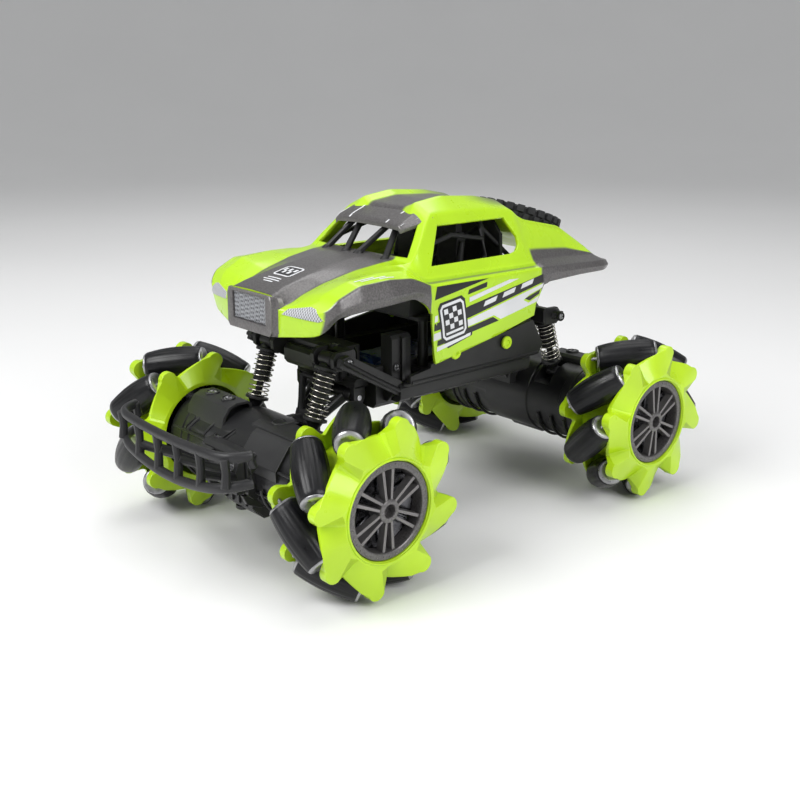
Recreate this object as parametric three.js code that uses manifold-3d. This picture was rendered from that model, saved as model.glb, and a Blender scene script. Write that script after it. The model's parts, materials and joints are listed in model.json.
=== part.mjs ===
// Remote control stunt car with four mecanum wheels, sprung solid axles and a baja style body.
// Millimetres. +Z is up, the car's front faces -Y and its left side is +X.
// The origin lies on the ground at the centre of the car's footprint.
import * as THREE from "three";
import { mergeVertices } from "three/addons/utils/BufferGeometryUtils.js";
import Module from "manifold-3d";

const wasm = await Module();
wasm.setup();

// ---- driving dimensions ----
const WHEELBASE = 195;
const AXLE_Y = WHEELBASE / 2;
const FORWARD_SHIFT = 7.75; // brings the footprint's centre to the origin
const HUB_HEIGHT = 44.75;
const WHEEL_X = 76.8; // middle of a wheel's width
const WHEEL_RADIUS = 45;
const GAP = 0.4;

const ROLLERS_PER_WHEEL = 8;
const LOBE_ANGLE = 78.5; // the first lobe, measured from +Y towards +Z
const PIN_CIRCLE = 39.2;
const PIN_RADIUS = 1.1;
const PIN_OUTER = 14.5; // the two ends of a roller pin, along the wheel's axis
const PIN_INNER = -16.6;
const PIN_TWIST = 45; // degrees between a pin's two ends
const ROLLER_LENGTH = 30.8;
const ROLLER_RING = 1.2;
const ROLLER_BORE = 1.6;

const TUBE_OUTER = 26.6;
const TUBE_INNER = 25;
const PLATE_OUTER = [12.5, 16.5];
const PLATE_INNER = [-18, -15];
const RIM_RADIUS = 23;

const SHAFT_RADIUS = 2.8;
const DRUM_RADIUS = 23;
const DRUM_END = 63;
const DRUM_START = 16;

const ARM_PIVOT = [58, 74]; // distance from mid-wheelbase, height
const ROLL_HEIGHT = 58;
const SHOCK_X = 25;
const SHOCK_TOP = [77.5, 98];
const SHOCK_FOOT = [89, 62];

const SKIN = 1.8;

const COLOURS = {
  green: [0xa6e81c, 0.35, 0],
  black: [0x17181a, 0.5, 0],
  rubber: [0x121214, 0.6, 0],
  charcoal: [0x2b2b2e, 0.55, 0],
  steel: [0xb9bbbf, 0.3, 0.9],
  battery: [0x2a3f7a, 0.5, 0],
};

// ---- solids ----
const radians = (degrees) => (degrees * Math.PI) / 180;
const vec = (x, y, z) => new THREE.Vector3(x, y, z);

function toSolid(geometry) {
  const bare = geometry.clone();
  bare.deleteAttribute("normal");
  bare.deleteAttribute("uv");
  const merged = mergeVertices(bare, 1e-4);
  return new wasm.Manifold(
    new wasm.Mesh({
      numProp: 3,
      vertProperties: new Float32Array(merged.attributes.position.array),
      triVerts: new Uint32Array(merged.index.array),
    }),
  );
}

function toGeometry(solid) {
  const mesh = solid.getMesh();
  const geometry = new THREE.BufferGeometry();
  geometry.setAttribute("position", new THREE.BufferAttribute(mesh.vertProperties, 3));
  geometry.setIndex(new THREE.BufferAttribute(mesh.triVerts, 1));
  geometry.computeVertexNormals();
  return geometry;
}

const join = (solids) => solids.reduce((sum, solid) => sum.add(solid));
const cut = (solid, tools) => tools.reduce((left, tool) => left.subtract(tool), solid);

function block(x, y, z) {
  const box = new THREE.BoxGeometry(x[1] - x[0], y[1] - y[0], z[1] - z[0]);
  box.translate((x[0] + x[1]) / 2, (y[0] + y[1]) / 2, (z[0] + z[1]) / 2);
  return toSolid(box);
}

// A round bar between two points, or a cone where the two radii differ.
function bar(from, to, radius, sides = 8, endRadius = radius) {
  const along = to.clone().sub(from);
  const geometry = new THREE.CylinderGeometry(endRadius, radius, along.length(), sides);
  geometry.applyQuaternion(
    new THREE.Quaternion().setFromUnitVectors(vec(0, 1, 0), along.clone().normalize()),
  );
  geometry.translate(...from.clone().add(to).multiplyScalar(0.5).toArray());
  return toSolid(geometry);
}

const xBar = (x, y, z, radius, sides = 12) => bar(vec(x[0], y, z), vec(x[1], y, z), radius, sides);

// An outline of [y, z] points, extruded between two x values.
function sidePlate(points, x) {
  const shape = new THREE.Shape(points.map(([y, z]) => new THREE.Vector2(y, z)));
  const geometry = new THREE.ExtrudeGeometry(shape, { depth: x[1] - x[0], bevelEnabled: false });
  const turn = new THREE.Matrix4().makeBasis(vec(0, 1, 0), vec(0, 0, 1), vec(1, 0, 0));
  geometry.applyMatrix4(turn);
  geometry.translate(x[0], 0, 0);
  return toSolid(geometry);
}

// An outline of [x, z] points, extruded between two y values.
function frontPlate(points, y) {
  const shape = new THREE.Shape(points.map(([x, z]) => new THREE.Vector2(x, z)));
  const geometry = new THREE.ExtrudeGeometry(shape, { depth: y[1] - y[0], bevelEnabled: false });
  const turn = new THREE.Matrix4().makeBasis(vec(1, 0, 0), vec(0, 0, 1), vec(0, -1, 0));
  geometry.applyMatrix4(turn);
  geometry.translate(0, y[1], 0);
  return toSolid(geometry);
}

const bothSides = (solid) => solid.add(solid.mirror([1, 0, 0]));

// ---- the car, built up as a scene ----
const car = new THREE.Group();
car.name = "rc_stunt_car";
car.position.y = FORWARD_SHIFT;

function add(name, geometry, colour, parent = car) {
  const [color, roughness, metalness] = COLOURS[colour];
  const mesh = new THREE.Mesh(
    geometry,
    new THREE.MeshStandardMaterial({ color, roughness, metalness }),
  );
  mesh.name = name;
  parent.add(mesh);
  return mesh;
}

// ---- body shell ----
// Each row is a cross-section's right half, from its lower edge over the shoulder to the centreline:
// y, then seven [x, z] points.
const STATIONS = [
  [-106, [18, 111], [18.2, 118], [18.4, 124], [18.4, 128], [18, 131], [12, 131.6], [0, 131.8]],
  [-97, [45.5, 116], [48, 121], [50, 127], [40, 130.4], [30, 130.4], [16, 134], [0, 134.5]],
  [-92, [51.5, 124.5], [53, 128], [51.5, 133], [41, 134.6], [30, 133.4], [15.4, 135.4], [0, 135.8]],
  [-80, [53, 126], [55, 130.5], [53, 138.4], [44, 139.6], [30, 137.2], [14, 138.4], [0, 138.8]],
  [-62, [54, 127], [56, 131.5], [53, 139], [44, 141], [31, 140.6], [13, 141.8], [0, 142.2]],
  [-45, [53, 127.5], [54.5, 131.5], [52, 137], [45, 140.5], [35, 142], [13, 143.6], [0, 143.8]],
  [-38, [51.5, 123.5], [52, 129], [51, 134], [45, 137], [40, 142], [27, 143], [0, 144]],
  [-32.5, [50.5, 118.5], [51.2, 126], [50.5, 132.2], [45.5, 135.3], [39, 147.5], [26, 149.6], [0, 150]],
  [-30.5, [49.5, 91.7], [51, 112], [50.4, 132], [45.4, 135.2], [38, 149.5], [26, 152.2], [0, 152.4]],
  [-18, [49.6, 94], [51, 113], [50.3, 132], [45.2, 135], [31.5, 163.2], [19.6, 168.3], [0, 165.6]],
  [0, [49.8, 97.5], [50.8, 115], [50.2, 132], [44.8, 134.6], [31.2, 163.6], [19.6, 170.6], [0, 167.6]],
  [25, [50, 102], [50.5, 117], [50, 131.8], [44.6, 134.2], [31, 162.8], [19.6, 168.6], [0, 166.4]],
  [43, [49.8, 106], [50.2, 119], [49.8, 131.5], [44, 133.8], [31, 160.4], [19.6, 164.8], [0, 163.6]],
  [46.5, [49.6, 114], [50, 121], [49.7, 131.4], [43.6, 133.8], [30.8, 157.6], [28.6, 150], [0, 149.4]],
  [52, [49.4, 123.8], [49.8, 127.6], [49.6, 131], [43, 134.6], [30.8, 155], [28.6, 147.4], [0, 147]],
  [80, [49, 123.6], [49.6, 126.6], [49, 130], [40, 133], [30.6, 149], [28.6, 137], [0, 136.8]],
  [101, [48.6, 123.4], [49.2, 126], [48, 129], [41, 131.4], [36, 134], [29, 130], [0, 129.6]],
  [107, [46, 124], [47, 126], [45, 128.4], [38, 128.9], [31, 129], [20, 128.6], [0, 128.4]],
];

// The section's outer line from one lower edge to the other, then its inner line back.
function sectionLoop([y, ...half]) {
  const right = half.map(([x, z]) => new THREE.Vector2(x, z));
  const left = right.slice(0, -1).map((p) => new THREE.Vector2(-p.x, p.y));
  const outer = [...left, ...right.reverse()];
  const inner = outer.map((point, index) => {
    const before = outer[Math.max(index - 1, 0)];
    const after = outer[Math.min(index + 1, outer.length - 1)];
    const along = after.clone().sub(before).normalize();
    return new THREE.Vector2(point.x + along.y * SKIN, point.y - along.x * SKIN);
  });
  return [...outer, ...inner.reverse()].map((p) => vec(p.x, y, p.y));
}

// Triangles over a flat loop, wound the way the loop runs.
function capFaces(loop) {
  const flat = loop.map((p) => new THREE.Vector2(p.x, p.z));
  const loopSign = Math.sign(THREE.ShapeUtils.area(flat));
  return THREE.ShapeUtils.triangulateShape(flat, []).map(([a, b, c]) => {
    const sign = Math.sign(THREE.ShapeUtils.area([flat[a], flat[b], flat[c]]));
    return sign === loopSign ? [a, b, c] : [a, c, b];
  });
}

// Joins closed loops of equal length into one closed skin.
function loft(loops) {
  const count = loops[0].length;
  const positions = loops.flat().flatMap((p) => p.toArray());
  const faces = [];
  for (let row = 0; row < loops.length - 1; row += 1) {
    for (let i = 0; i < count; i += 1) {
      const next = (i + 1) % count;
      const a = row * count + i;
      const b = row * count + next;
      faces.push(a, b, a + count, b, b + count, a + count);
    }
  }
  const lastRow = (loops.length - 1) * count;
  for (const [a, b, c] of capFaces(loops[0])) {
    faces.push(c, b, a);
  }
  for (const [a, b, c] of capFaces(loops.at(-1))) {
    faces.push(lastRow + a, lastRow + b, lastRow + c);
  }
  const geometry = new THREE.BufferGeometry();
  geometry.setAttribute("position", new THREE.Float32BufferAttribute(positions, 3));
  geometry.setIndex(faces);
  return geometry;
}

function bodyShell() {
  const skin = toSolid(loft(STATIONS.map(sectionLoop)));
  const nose = frontPlate(
    [[-17.6, 111.4], [17.6, 111.4], [17.8, 130.4], [-17.8, 130.4]],
    [-106, -104],
  );
  const visor = sidePlate([[-31.9, 157.6], [-31.9, 155.4], [-14, 162], [-14, 166]], [-26, 26]);
  const windscreenBars = [
    bar(vec(24, -39.9, 140.8), vec(16.6, -27, 159), 1.3, 6),
    bar(vec(5, -41.8, 141.4), vec(11.6, -27, 159), 1.3, 6),
  ];
  const sideWindow = [[-26.5, 140], [30.5, 139.5], [38, 142.5], [40.2, 147], [34, 157.6], [-14.6, 158]];
  const windscreen = [[-35.5, 144], [35.5, 144], [28, 160.6], [-28, 160.6]];
  const grille = block([-14, 14], [-107, -105.2], [116.8, 130]);
  const open = cut(skin, [
    sidePlate(sideWindow, [-60, 60]),
    frontPlate(windscreen, [-60, -8]),
    grille,
  ]);
  return join([open, nose, visor, bothSides(join(windscreenBars))]);
}

add("body_shell", toGeometry(bodyShell()), "green");

// ---- cockpit insert: floor, dash, two seats and their roll hoop ----
function cockpit() {
  const floor = block([-42, 42], [-36, 42], [113, 115]);
  const dash = block([-36, 36], [-34, -27], [114, 137]);
  const seat = join([
    block([8, 26], [-6, 12], [114, 123]),
    block([8, 26], [10, 16], [114, 148]),
    block([12, 22], [10.5, 15], [147, 153]),
  ]);
  const hoop = join([
    bar(vec(30, 24, 114), vec(26, 24, 156), 1.6, 6),
    bar(vec(-26.8, 24, 156), vec(26.8, 24, 156), 1.6, 6),
  ]);
  return join([floor, dash, bothSides(seat), bothSides(hoop)]);
}

add("cockpit", toGeometry(cockpit()), "black");

// ---- spare tyre, leaning on the rear deck ----
const TYRE = { radius: 27, width: 15, y: 77, z: 148, lean: 20 };

function spareTyre() {
  const half = TYRE.width / 2;
  const profile = [
    [11, -half], [TYRE.radius - 3, -half], [TYRE.radius, 2.5 - half],
    [TYRE.radius, half - 2.5], [TYRE.radius - 3, half], [11, half], [11, -half],
  ];
  const tyre = new THREE.LatheGeometry(profile.map(([r, t]) => new THREE.Vector2(r, t)), 24);
  const hub = new THREE.CylinderGeometry(11.4, 11.4, 5, 12);
  return toGeometry(toSolid(tyre).add(toSolid(hub)));
}

const tyre = add("spare_tyre", spareTyre(), "rubber");
tyre.rotation.x = radians(90 - TYRE.lean);
tyre.position.set(0, TYRE.y, TYRE.z);

// ---- chassis frame ----
// One end's tower, at +Y: the neck, the shock brackets and the ears for the link arm.
function towerEnd() {
  const [pivotY, pivotZ] = ARM_PIVOT;
  const [shockY, shockZ] = SHOCK_TOP;
  return join([
    block([-15, 15], [50, 66], [79, 99]),
    block([-12, 12], [64, 78], [87, 99]),
    block([-34, 34], [68, 73], [94, 103]),
    bothSides(block([15.8, 18.4], [70, 82], [94, 103])),
    bothSides(block([31.6, 34.2], [70, 82], [94, 103])),
    bothSides(xBar([17, 33], shockY, shockZ, 1.5, 8)),
    block([-24, 24], [51, 61], [79, 84]),
    bothSides(block([21, 24], [54, 61.5], [70, 80])),
    xBar([-22, 22], pivotY, pivotZ, 1.5, 8),
  ]);
}

function chassis() {
  const tub = cut(block([-30, 30], [-52, 52], [68, 90]), [
    block([-27, 27], [-49, 49], [71, 91]),
    block([-17, 17], [-31, 31], [67, 72]),
    block([-3.4, 3.4], [38, 47], [67, 72]),
  ]);
  const rocker = sidePlate(
    [[-44, 79], [50, 79], [53, 86], [44, 103], [-30, 91.2], [-30, 88], [-44, 84]],
    [44.6, 47.4],
  );
  const outrigger = block([29, 45], [-30, 48], [79, 82]);
  const bodyPosts = [
    bar(vec(34, 30, 81), vec(34, 30, 112.6), 2.4, 8),
    bar(vec(34, -24, 81), vec(34, -24, 112.6), 2.4, 8),
  ];
  return join([
    tub,
    bothSides(join([rocker, outrigger, ...bodyPosts])),
    towerEnd(),
    towerEnd().mirror([0, 1, 0]),
  ]);
}

add("chassis_frame", toGeometry(chassis()), "black");
add("battery_pack", toGeometry(block([-16, 16], [-30, 30], [68.4, 86])), "battery");
add("battery_cover", toGeometry(block([-20, 20], [-35, 35], [66.2, 67.6])), "black");
const slider = join([block([-2.4, 2.4], [39.5, 43.5], [65.6, 72]), block([-5, 5], [38, 46], [71.4, 73])]);
add("power_switch", toGeometry(slider), "charcoal");

// ---- one axle: housing, link arm and shocks, built for +Y and mirrored for the front ----
const mirrorEnd = (solid, end) => (end < 0 ? solid.mirror([0, 1, 0]) : solid);

function axleHousing() {
  const drums = bothSides(
    xBar([DRUM_START, DRUM_END], AXLE_Y, HUB_HEIGHT, DRUM_RADIUS, 20).add(
      xBar([DRUM_END - 1, WHEEL_X + 11], AXLE_Y, HUB_HEIGHT, SHAFT_RADIUS, 8),
    ),
  );
  const middle = xBar([-DRUM_START - 1, DRUM_START + 1], AXLE_Y, HUB_HEIGHT, 18, 16);
  const pivotBoss = bar(vec(0, 90, ROLL_HEIGHT), vec(0, 76.3, ROLL_HEIGHT), 5.8, 10);
  const socket = bar(vec(0, 84, ROLL_HEIGHT), vec(0, 76, ROLL_HEIGHT), 3.1, 8);
  const skid = block([-12, 12], [94, 116], [19, 34]);
  const mountBlock = block([-20, 20], [108, 124], [34, 56]);
  const shockPocket = bothSides(block([19.5, 30.5], [80, 95], [56, 70]));
  return cut(join([drums, middle, pivotBoss, skid, mountBlock]), [socket, shockPocket]);
}

function linkArm() {
  const [pivotY, pivotZ] = ARM_PIVOT;
  const tube = xBar([-20.4, 20.4], pivotY, pivotZ, 3.6, 10);
  const sides = bothSides(
    join([
      bar(vec(14, pivotY, pivotZ), vec(5.5, 73, 60), 2.4, 8),
      bar(vec(5, 73.2, 62), vec(7.5, 69.5, 82.5), 2, 6),
    ]),
  );
  const endBlock = block([-7.5, 7.5], [70.5, 75.5], [53.5, 65]);
  const pin = bar(vec(0, 73, ROLL_HEIGHT), vec(0, 82, ROLL_HEIGHT), 2.6, 8);
  const bore = xBar([-25, 25], pivotY, pivotZ, 2, 8);
  return cut(join([tube, sides, endBlock, pin]), [bore]);
}

// Along a shock, s = 0 at its top eye and grows towards its foot.
const shockTop = vec(SHOCK_X, ...SHOCK_TOP);
const shockFoot = vec(SHOCK_X, ...SHOCK_FOOT);
const shockLine = shockFoot.clone().sub(shockTop).normalize();
const shockLength = shockTop.distanceTo(shockFoot);
const alongShock = (s) => shockTop.clone().addScaledVector(shockLine, s);

function shockBody() {
  const eye = bar(vec(SHOCK_X - 4.6, ...SHOCK_TOP), vec(SHOCK_X + 4.6, ...SHOCK_TOP), 3.4, 10);
  const barrel = bar(alongShock(1), alongShock(21), 3.9, 10);
  const collar = bar(alongShock(4), alongShock(5.6), 6, 12);
  const bore = bar(alongShock(6.5), alongShock(22), 2.5, 8);
  const pinHole = bar(vec(SHOCK_X - 6, ...SHOCK_TOP), vec(SHOCK_X + 6, ...SHOCK_TOP), 1.9, 8);
  return cut(join([eye, barrel, collar]), [bore, pinHole]);
}

function shockRod() {
  const eye = bar(vec(SHOCK_X - 4, ...SHOCK_FOOT), vec(SHOCK_X + 4, ...SHOCK_FOOT), 3, 10);
  const stem = bar(alongShock(13.5), shockFoot, 1.9, 8);
  const seat = bar(alongShock(shockLength - 8), alongShock(shockLength - 6.6), 6, 12);
  return join([eye, stem, seat]);
}

class Helix extends THREE.Curve {
  constructor(start, end, radius, turns) {
    super();
    this.start = start;
    this.end = end;
    this.radius = radius;
    this.turns = turns;
  }

  getPoint(t, target = new THREE.Vector3()) {
    const along = this.end.clone().sub(this.start);
    const across = vec(1, 0, 0);
    const third = new THREE.Vector3().crossVectors(along, across).normalize();
    const angle = t * this.turns * 2 * Math.PI;
    target.copy(this.start).addScaledVector(along, t);
    target.addScaledVector(across, Math.cos(angle) * this.radius);
    return target.addScaledVector(third, Math.sin(angle) * this.radius);
  }
}

function spring() {
  const wire = new THREE.Shape();
  const wireRadius = 0.5;
  wire.moveTo(wireRadius, 0);
  for (let corner = 1; corner < 4; corner += 1) {
    const angle = (corner * Math.PI) / 2;
    wire.lineTo(wireRadius * Math.cos(angle), wireRadius * Math.sin(angle));
  }
  const path = new Helix(alongShock(6.6), alongShock(shockLength - 9), 5.2, 6);
  const geometry = new THREE.ExtrudeGeometry(wire, {
    steps: 48,
    extrudePath: path,
    bevelEnabled: false,
  });
  return toSolid(geometry);
}

for (const [end, endName] of [[-1, "front"], [1, "rear"]]) {
  add(`${endName}_axle_housing`, toGeometry(mirrorEnd(axleHousing(), end)), "black");
  add(`${endName}_link_arm`, toGeometry(mirrorEnd(linkArm(), end)), "black");
  for (const [side, sideName] of [[1, "left"], [-1, "right"]]) {
    const placed = (solid) => {
      const onSide = side < 0 ? solid.mirror([1, 0, 0]) : solid;
      return toGeometry(mirrorEnd(onSide, end));
    };
    add(`shock_body_${endName}_${sideName}`, placed(shockBody()), "black");
    add(`spring_${endName}_${sideName}`, placed(spring()), "steel");
    add(`shock_rod_${endName}_${sideName}`, placed(shockRod()), "black");
  }
}

// ---- front bumper, fixed to the front of the axle housing ----
function bumperBar(ends, middle, radius) {
  const curve = new THREE.CatmullRomCurve3([
    vec(-52, -142, ends + 1),
    vec(-47.6, -153, ends),
    vec(-24, -155, (ends + middle) / 2),
    vec(0, -155.3, middle),
    vec(24, -155, (ends + middle) / 2),
    vec(47.6, -153, ends),
    vec(52, -142, ends + 1),
  ]);
  const section = new THREE.Shape();
  section.moveTo(radius, 0);
  for (let corner = 1; corner < 6; corner += 1) {
    const angle = (corner * Math.PI) / 3;
    section.lineTo(radius * Math.cos(angle), radius * Math.sin(angle));
  }
  return toSolid(
    new THREE.ExtrudeGeometry(section, { steps: 12, extrudePath: curve, bevelEnabled: false }),
  );
}

function bumper() {
  const upper = bumperBar(70.5, 69, 2.6);
  const lower = bumperBar(57.5, 50, 2.6);
  const posts = [[9, 69.5, 51], [28, 70, 54], [47.6, 70.5, 57.5]].map(([x, top, bottom]) =>
    bar(vec(x, x > 40 ? -153 : -155, top), vec(x, x > 40 ? -153 : -155, bottom), 2.1, 6),
  );
  const stay = join([
    bar(vec(9, -155, 60), vec(12, -127, 47), 2.4, 6),
    bar(vec(28, -155, 58), vec(15, -127, 46), 2.2, 6),
    block([8, 18], [-129, -124.5], [38, 54]),
  ]);
  const plate = block([-12, 12], [-129, -126], [40, 50]);
  return join([upper, lower, bothSides(join([...posts, stay])), plate]);
}

add("front_bumper", toGeometry(bumper()), "charcoal");

// ---- wheels ----
// In a wheel's own frame +X points outward and the lobes lie in the YZ plane.
const polar = (radius, degrees) => [
  radius * Math.cos(radians(degrees)),
  radius * Math.sin(radians(degrees)),
];

// One saw-tooth: a rounded lobe round the pin, a pocket for the roller's end, then a long slope.
// Pairs are degrees from the pin towards its roller, and radius.
const TOOTH = [[-7, 40.4], [-3, 42.3], [2.8, 42.3], [4.8, 40.6], [4.2, 31], [15.5, 31], [22, 33.8]];

function lobedPlate(x, towardsRoller, firstPin, hole) {
  const outline = [];
  for (let lobe = 0; lobe < ROLLERS_PER_WHEEL; lobe += 1) {
    const pin = firstPin + (towardsRoller * lobe * 360) / ROLLERS_PER_WHEEL;
    for (const [offset, radius] of TOOTH) {
      outline.push(polar(radius, pin + towardsRoller * offset));
    }
  }
  const points = towardsRoller > 0 ? outline : outline.reverse();
  return sidePlate(points, x).subtract(xBar([x[0] - 1, x[1] + 1], 0, 0, hole, 20));
}

function pinEnds(twist, index) {
  const outerAngle = LOBE_ANGLE + (index * 360) / ROLLERS_PER_WHEEL;
  const outer = vec(PIN_OUTER, ...polar(PIN_CIRCLE, outerAngle));
  const inner = vec(PIN_INNER, ...polar(PIN_CIRCLE, outerAngle + twist * PIN_TWIST));
  return [outer, inner];
}

function rimInsert() {
  const ring = xBar([13, 18], 0, 0, RIM_RADIUS, 20).subtract(xBar([12, 19], 0, 0, 19.4, 20));
  const spokes = [];
  for (let pair = 0; pair < 6; pair += 1) {
    for (const spread of [-7, 7]) {
      const angle = 90 + pair * 60 + spread;
      spokes.push(
        bar(vec(15.4, ...polar(5.5, 90 + pair * 60 + spread * 2)), vec(15.4, ...polar(20.4, angle)), 1.1, 4),
      );
    }
  }
  return join([ring, ...spokes]);
}

function wheelHub(twist) {
  const outerPlate = lobedPlate(PLATE_OUTER, twist, LOBE_ANGLE, 19.6);
  const innerPlate = lobedPlate(PLATE_INNER, -twist, LOBE_ANGLE + twist * PIN_TWIST, TUBE_INNER);
  const tube = xBar([-17, 13.5], 0, 0, TUBE_OUTER, 20).subtract(xBar([-19, 14], 0, 0, TUBE_INNER, 20));
  const web = xBar([6, 8.5], 0, 0, TUBE_INNER + 0.8, 20);
  const boss = xBar([-8, 16.8], 0, 0, 6.6, 12);
  const shaftBore = xBar([-20, 11.6], 0, 0, 3.4, 8);
  const noseHole = xBar([15, 18], 0, 0, 3, 8);
  const pins = [];
  for (let index = 0; index < ROLLERS_PER_WHEEL; index += 1) {
    pins.push(bar(...pinEnds(twist, index), PIN_RADIUS, 6));
  }
  const whole = join([outerPlate, innerPlate, tube, web, boss, rimInsert(), ...pins]);
  return cut(whole, [shaftBore, noseHole]);
}

// Barrel-shaped, so that all the rollers together make one round tread.
function rollerGeometry() {
  const tilt = (2 * PIN_CIRCLE * Math.sin(radians(PIN_TWIST / 2))) / rollerSpan();
  const axisDistance = PIN_CIRCLE * Math.cos(radians(PIN_TWIST / 2));
  const radiusAt = (t) => WHEEL_RADIUS - Math.hypot(axisDistance, t * tilt);
  const half = ROLLER_LENGTH / 2;
  const end = half + ROLLER_RING;
  const profile = [
    [ROLLER_BORE, -end],
    [radiusAt(end) - 0.6, -end],
    ...[-half, 0, half].map((t) => [radiusAt(t), t]),
    [radiusAt(end) - 0.6, end],
    [ROLLER_BORE, end],
    [ROLLER_BORE, -end],
  ];
  return new THREE.LatheGeometry(profile.map(([r, t]) => new THREE.Vector2(r, t)), 10);
}

function rollerSpan() {
  const [outer, inner] = pinEnds(1, 0);
  return outer.distanceTo(inner);
}

const CORNERS = [
  ["front_left", 1, -1, -1],
  ["front_right", -1, -1, -1],
  ["rear_left", 1, 1, 1],
  ["rear_right", -1, 1, 1],
];
const hubs = { "-1": wheelHub(-1), 1: wheelHub(1) };
const roller = rollerGeometry();

for (const [corner, side, end, twist] of CORNERS) {
  const wheel = new THREE.Group();
  wheel.position.set(side * WHEEL_X, end * AXLE_Y, HUB_HEIGHT);
  car.add(wheel);
  const hub = side < 0 ? hubs[twist].mirror([1, 0, 0]) : hubs[twist];
  add(`wheel_hub_${corner}`, toGeometry(hub), "green", wheel);
  for (let index = 0; index < ROLLERS_PER_WHEEL; index += 1) {
    const [outer, inner] = pinEnds(twist, index);
    outer.x *= side;
    inner.x *= side;
    const piece = add(`roller_${corner}_${index + 1}`, roller.clone(), "rubber", wheel);
    piece.position.copy(outer).add(inner).multiplyScalar(0.5);
    piece.quaternion.setFromUnitVectors(vec(0, 1, 0), outer.sub(inner).normalize());
  }
}

export default car;
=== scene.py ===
"""Looks of the remote control stunt car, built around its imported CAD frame.

Shapes are worked out in car millimetres: the origin is on the ground at mid-wheelbase, the front
faces -Y, the car's left side is +X and +Z is up. place() turns them into the row frame in metres.
"""

import json
import math

import bmesh
import bpy
import numpy as np
from mathutils import Matrix, Vector
from mathutils.bvhtree import BVHTree


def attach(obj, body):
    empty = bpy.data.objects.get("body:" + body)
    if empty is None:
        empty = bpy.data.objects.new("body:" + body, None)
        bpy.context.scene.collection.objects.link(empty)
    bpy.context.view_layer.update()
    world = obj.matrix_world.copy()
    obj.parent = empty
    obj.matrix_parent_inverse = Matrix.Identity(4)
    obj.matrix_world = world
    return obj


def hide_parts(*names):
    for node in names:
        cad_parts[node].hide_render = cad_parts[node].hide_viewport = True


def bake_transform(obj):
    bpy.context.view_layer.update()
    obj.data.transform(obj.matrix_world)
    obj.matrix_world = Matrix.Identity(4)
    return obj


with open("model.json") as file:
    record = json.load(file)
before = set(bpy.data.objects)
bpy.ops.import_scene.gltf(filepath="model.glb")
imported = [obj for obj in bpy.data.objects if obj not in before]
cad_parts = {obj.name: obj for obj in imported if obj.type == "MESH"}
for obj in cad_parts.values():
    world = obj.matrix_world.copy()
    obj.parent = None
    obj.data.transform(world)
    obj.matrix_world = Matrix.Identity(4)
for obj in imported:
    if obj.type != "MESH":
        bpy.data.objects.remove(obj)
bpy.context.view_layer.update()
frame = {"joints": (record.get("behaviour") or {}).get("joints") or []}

MM = 0.001
JOINTS = {joint["name"]: joint for joint in frame["joints"]}
ENDS = {"front": -1, "rear": 1}
SIDES = {"left": 1, "right": -1}
CORNERS = [(end, side) for end in ENDS for side in SIDES]


def wheel_centre(end, side):
    """The middle of a wheel in the row frame, in metres."""
    return Vector(JOINTS[f"wheel_{end}_{side}_spin"]["pos_m"])


SHIFT = (wheel_centre("front", "left").y + wheel_centre("rear", "left").y) / 2 / MM
_, AXLE_Y, HUB_HEIGHT = wheel_centre("rear", "left") / MM - Vector((0, SHIFT, 0))


def place(point):
    """Car millimetres to the row frame in metres."""
    return Vector((point[0], point[1] + SHIFT, point[2])) * MM


def same(point):
    """A piece's own millimetres to metres."""
    return Vector(point) * MM


# ---- camera and light ----
def add_camera():
    """The photo's view, solved from the wheels' rims and mirrored points of the body."""
    azimuth, elevation = math.radians(48.74), math.radians(16.99)
    level = math.cos(elevation)
    back = Vector((math.sin(azimuth) * level, -math.cos(azimuth) * level, math.sin(elevation)))
    data = bpy.data.cameras.new("camera")
    data.lens = 50.9
    data.sensor_width = 36
    camera = bpy.data.objects.new("camera", data)
    camera.location = (0.4485, -0.39525, 0.2399)
    camera.rotation_euler = back.to_track_quat("Z", "Y").to_euler()
    bpy.context.scene.collection.objects.link(camera)
    bpy.context.scene.camera = camera


def add_area_light(name, location, target, size, power):
    data = bpy.data.lights.new(name, "AREA")
    data.shape = "RECTANGLE"
    data.size, data.size_y = size
    data.energy = power
    light = bpy.data.objects.new(name, data)
    light.location = location
    aim = Vector(location) - Vector(target)
    light.rotation_euler = aim.to_track_quat("Z", "Y").to_euler()
    bpy.context.scene.collection.objects.link(light)


def add_lights():
    """A high key light in front, a fill on the car's left, a top light, a rim light and a pale world."""
    middle = (0, 0, 0.07)
    add_area_light("key", (-0.15, -0.95, 0.95), middle, (0.8, 0.6), 13.0)
    add_area_light("fill", (1.15, 0.05, 0.75), middle, (0.7, 0.7), 9.0)
    add_area_light("top", (-0.1, 0.1, 1.35), middle, (1.0, 0.8), 5.0)
    add_area_light("rim", (-0.6, 0.6, 1.2), middle, (0.7, 0.4), 2.5)
    world = bpy.data.worlds.new("studio")
    world.use_nodes = True
    world.node_tree.nodes["Background"].inputs["Color"].default_value = (0.93, 0.94, 0.95, 1)
    world.node_tree.nodes["Background"].inputs["Strength"].default_value = 0.33
    bpy.context.scene.world = world


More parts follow.
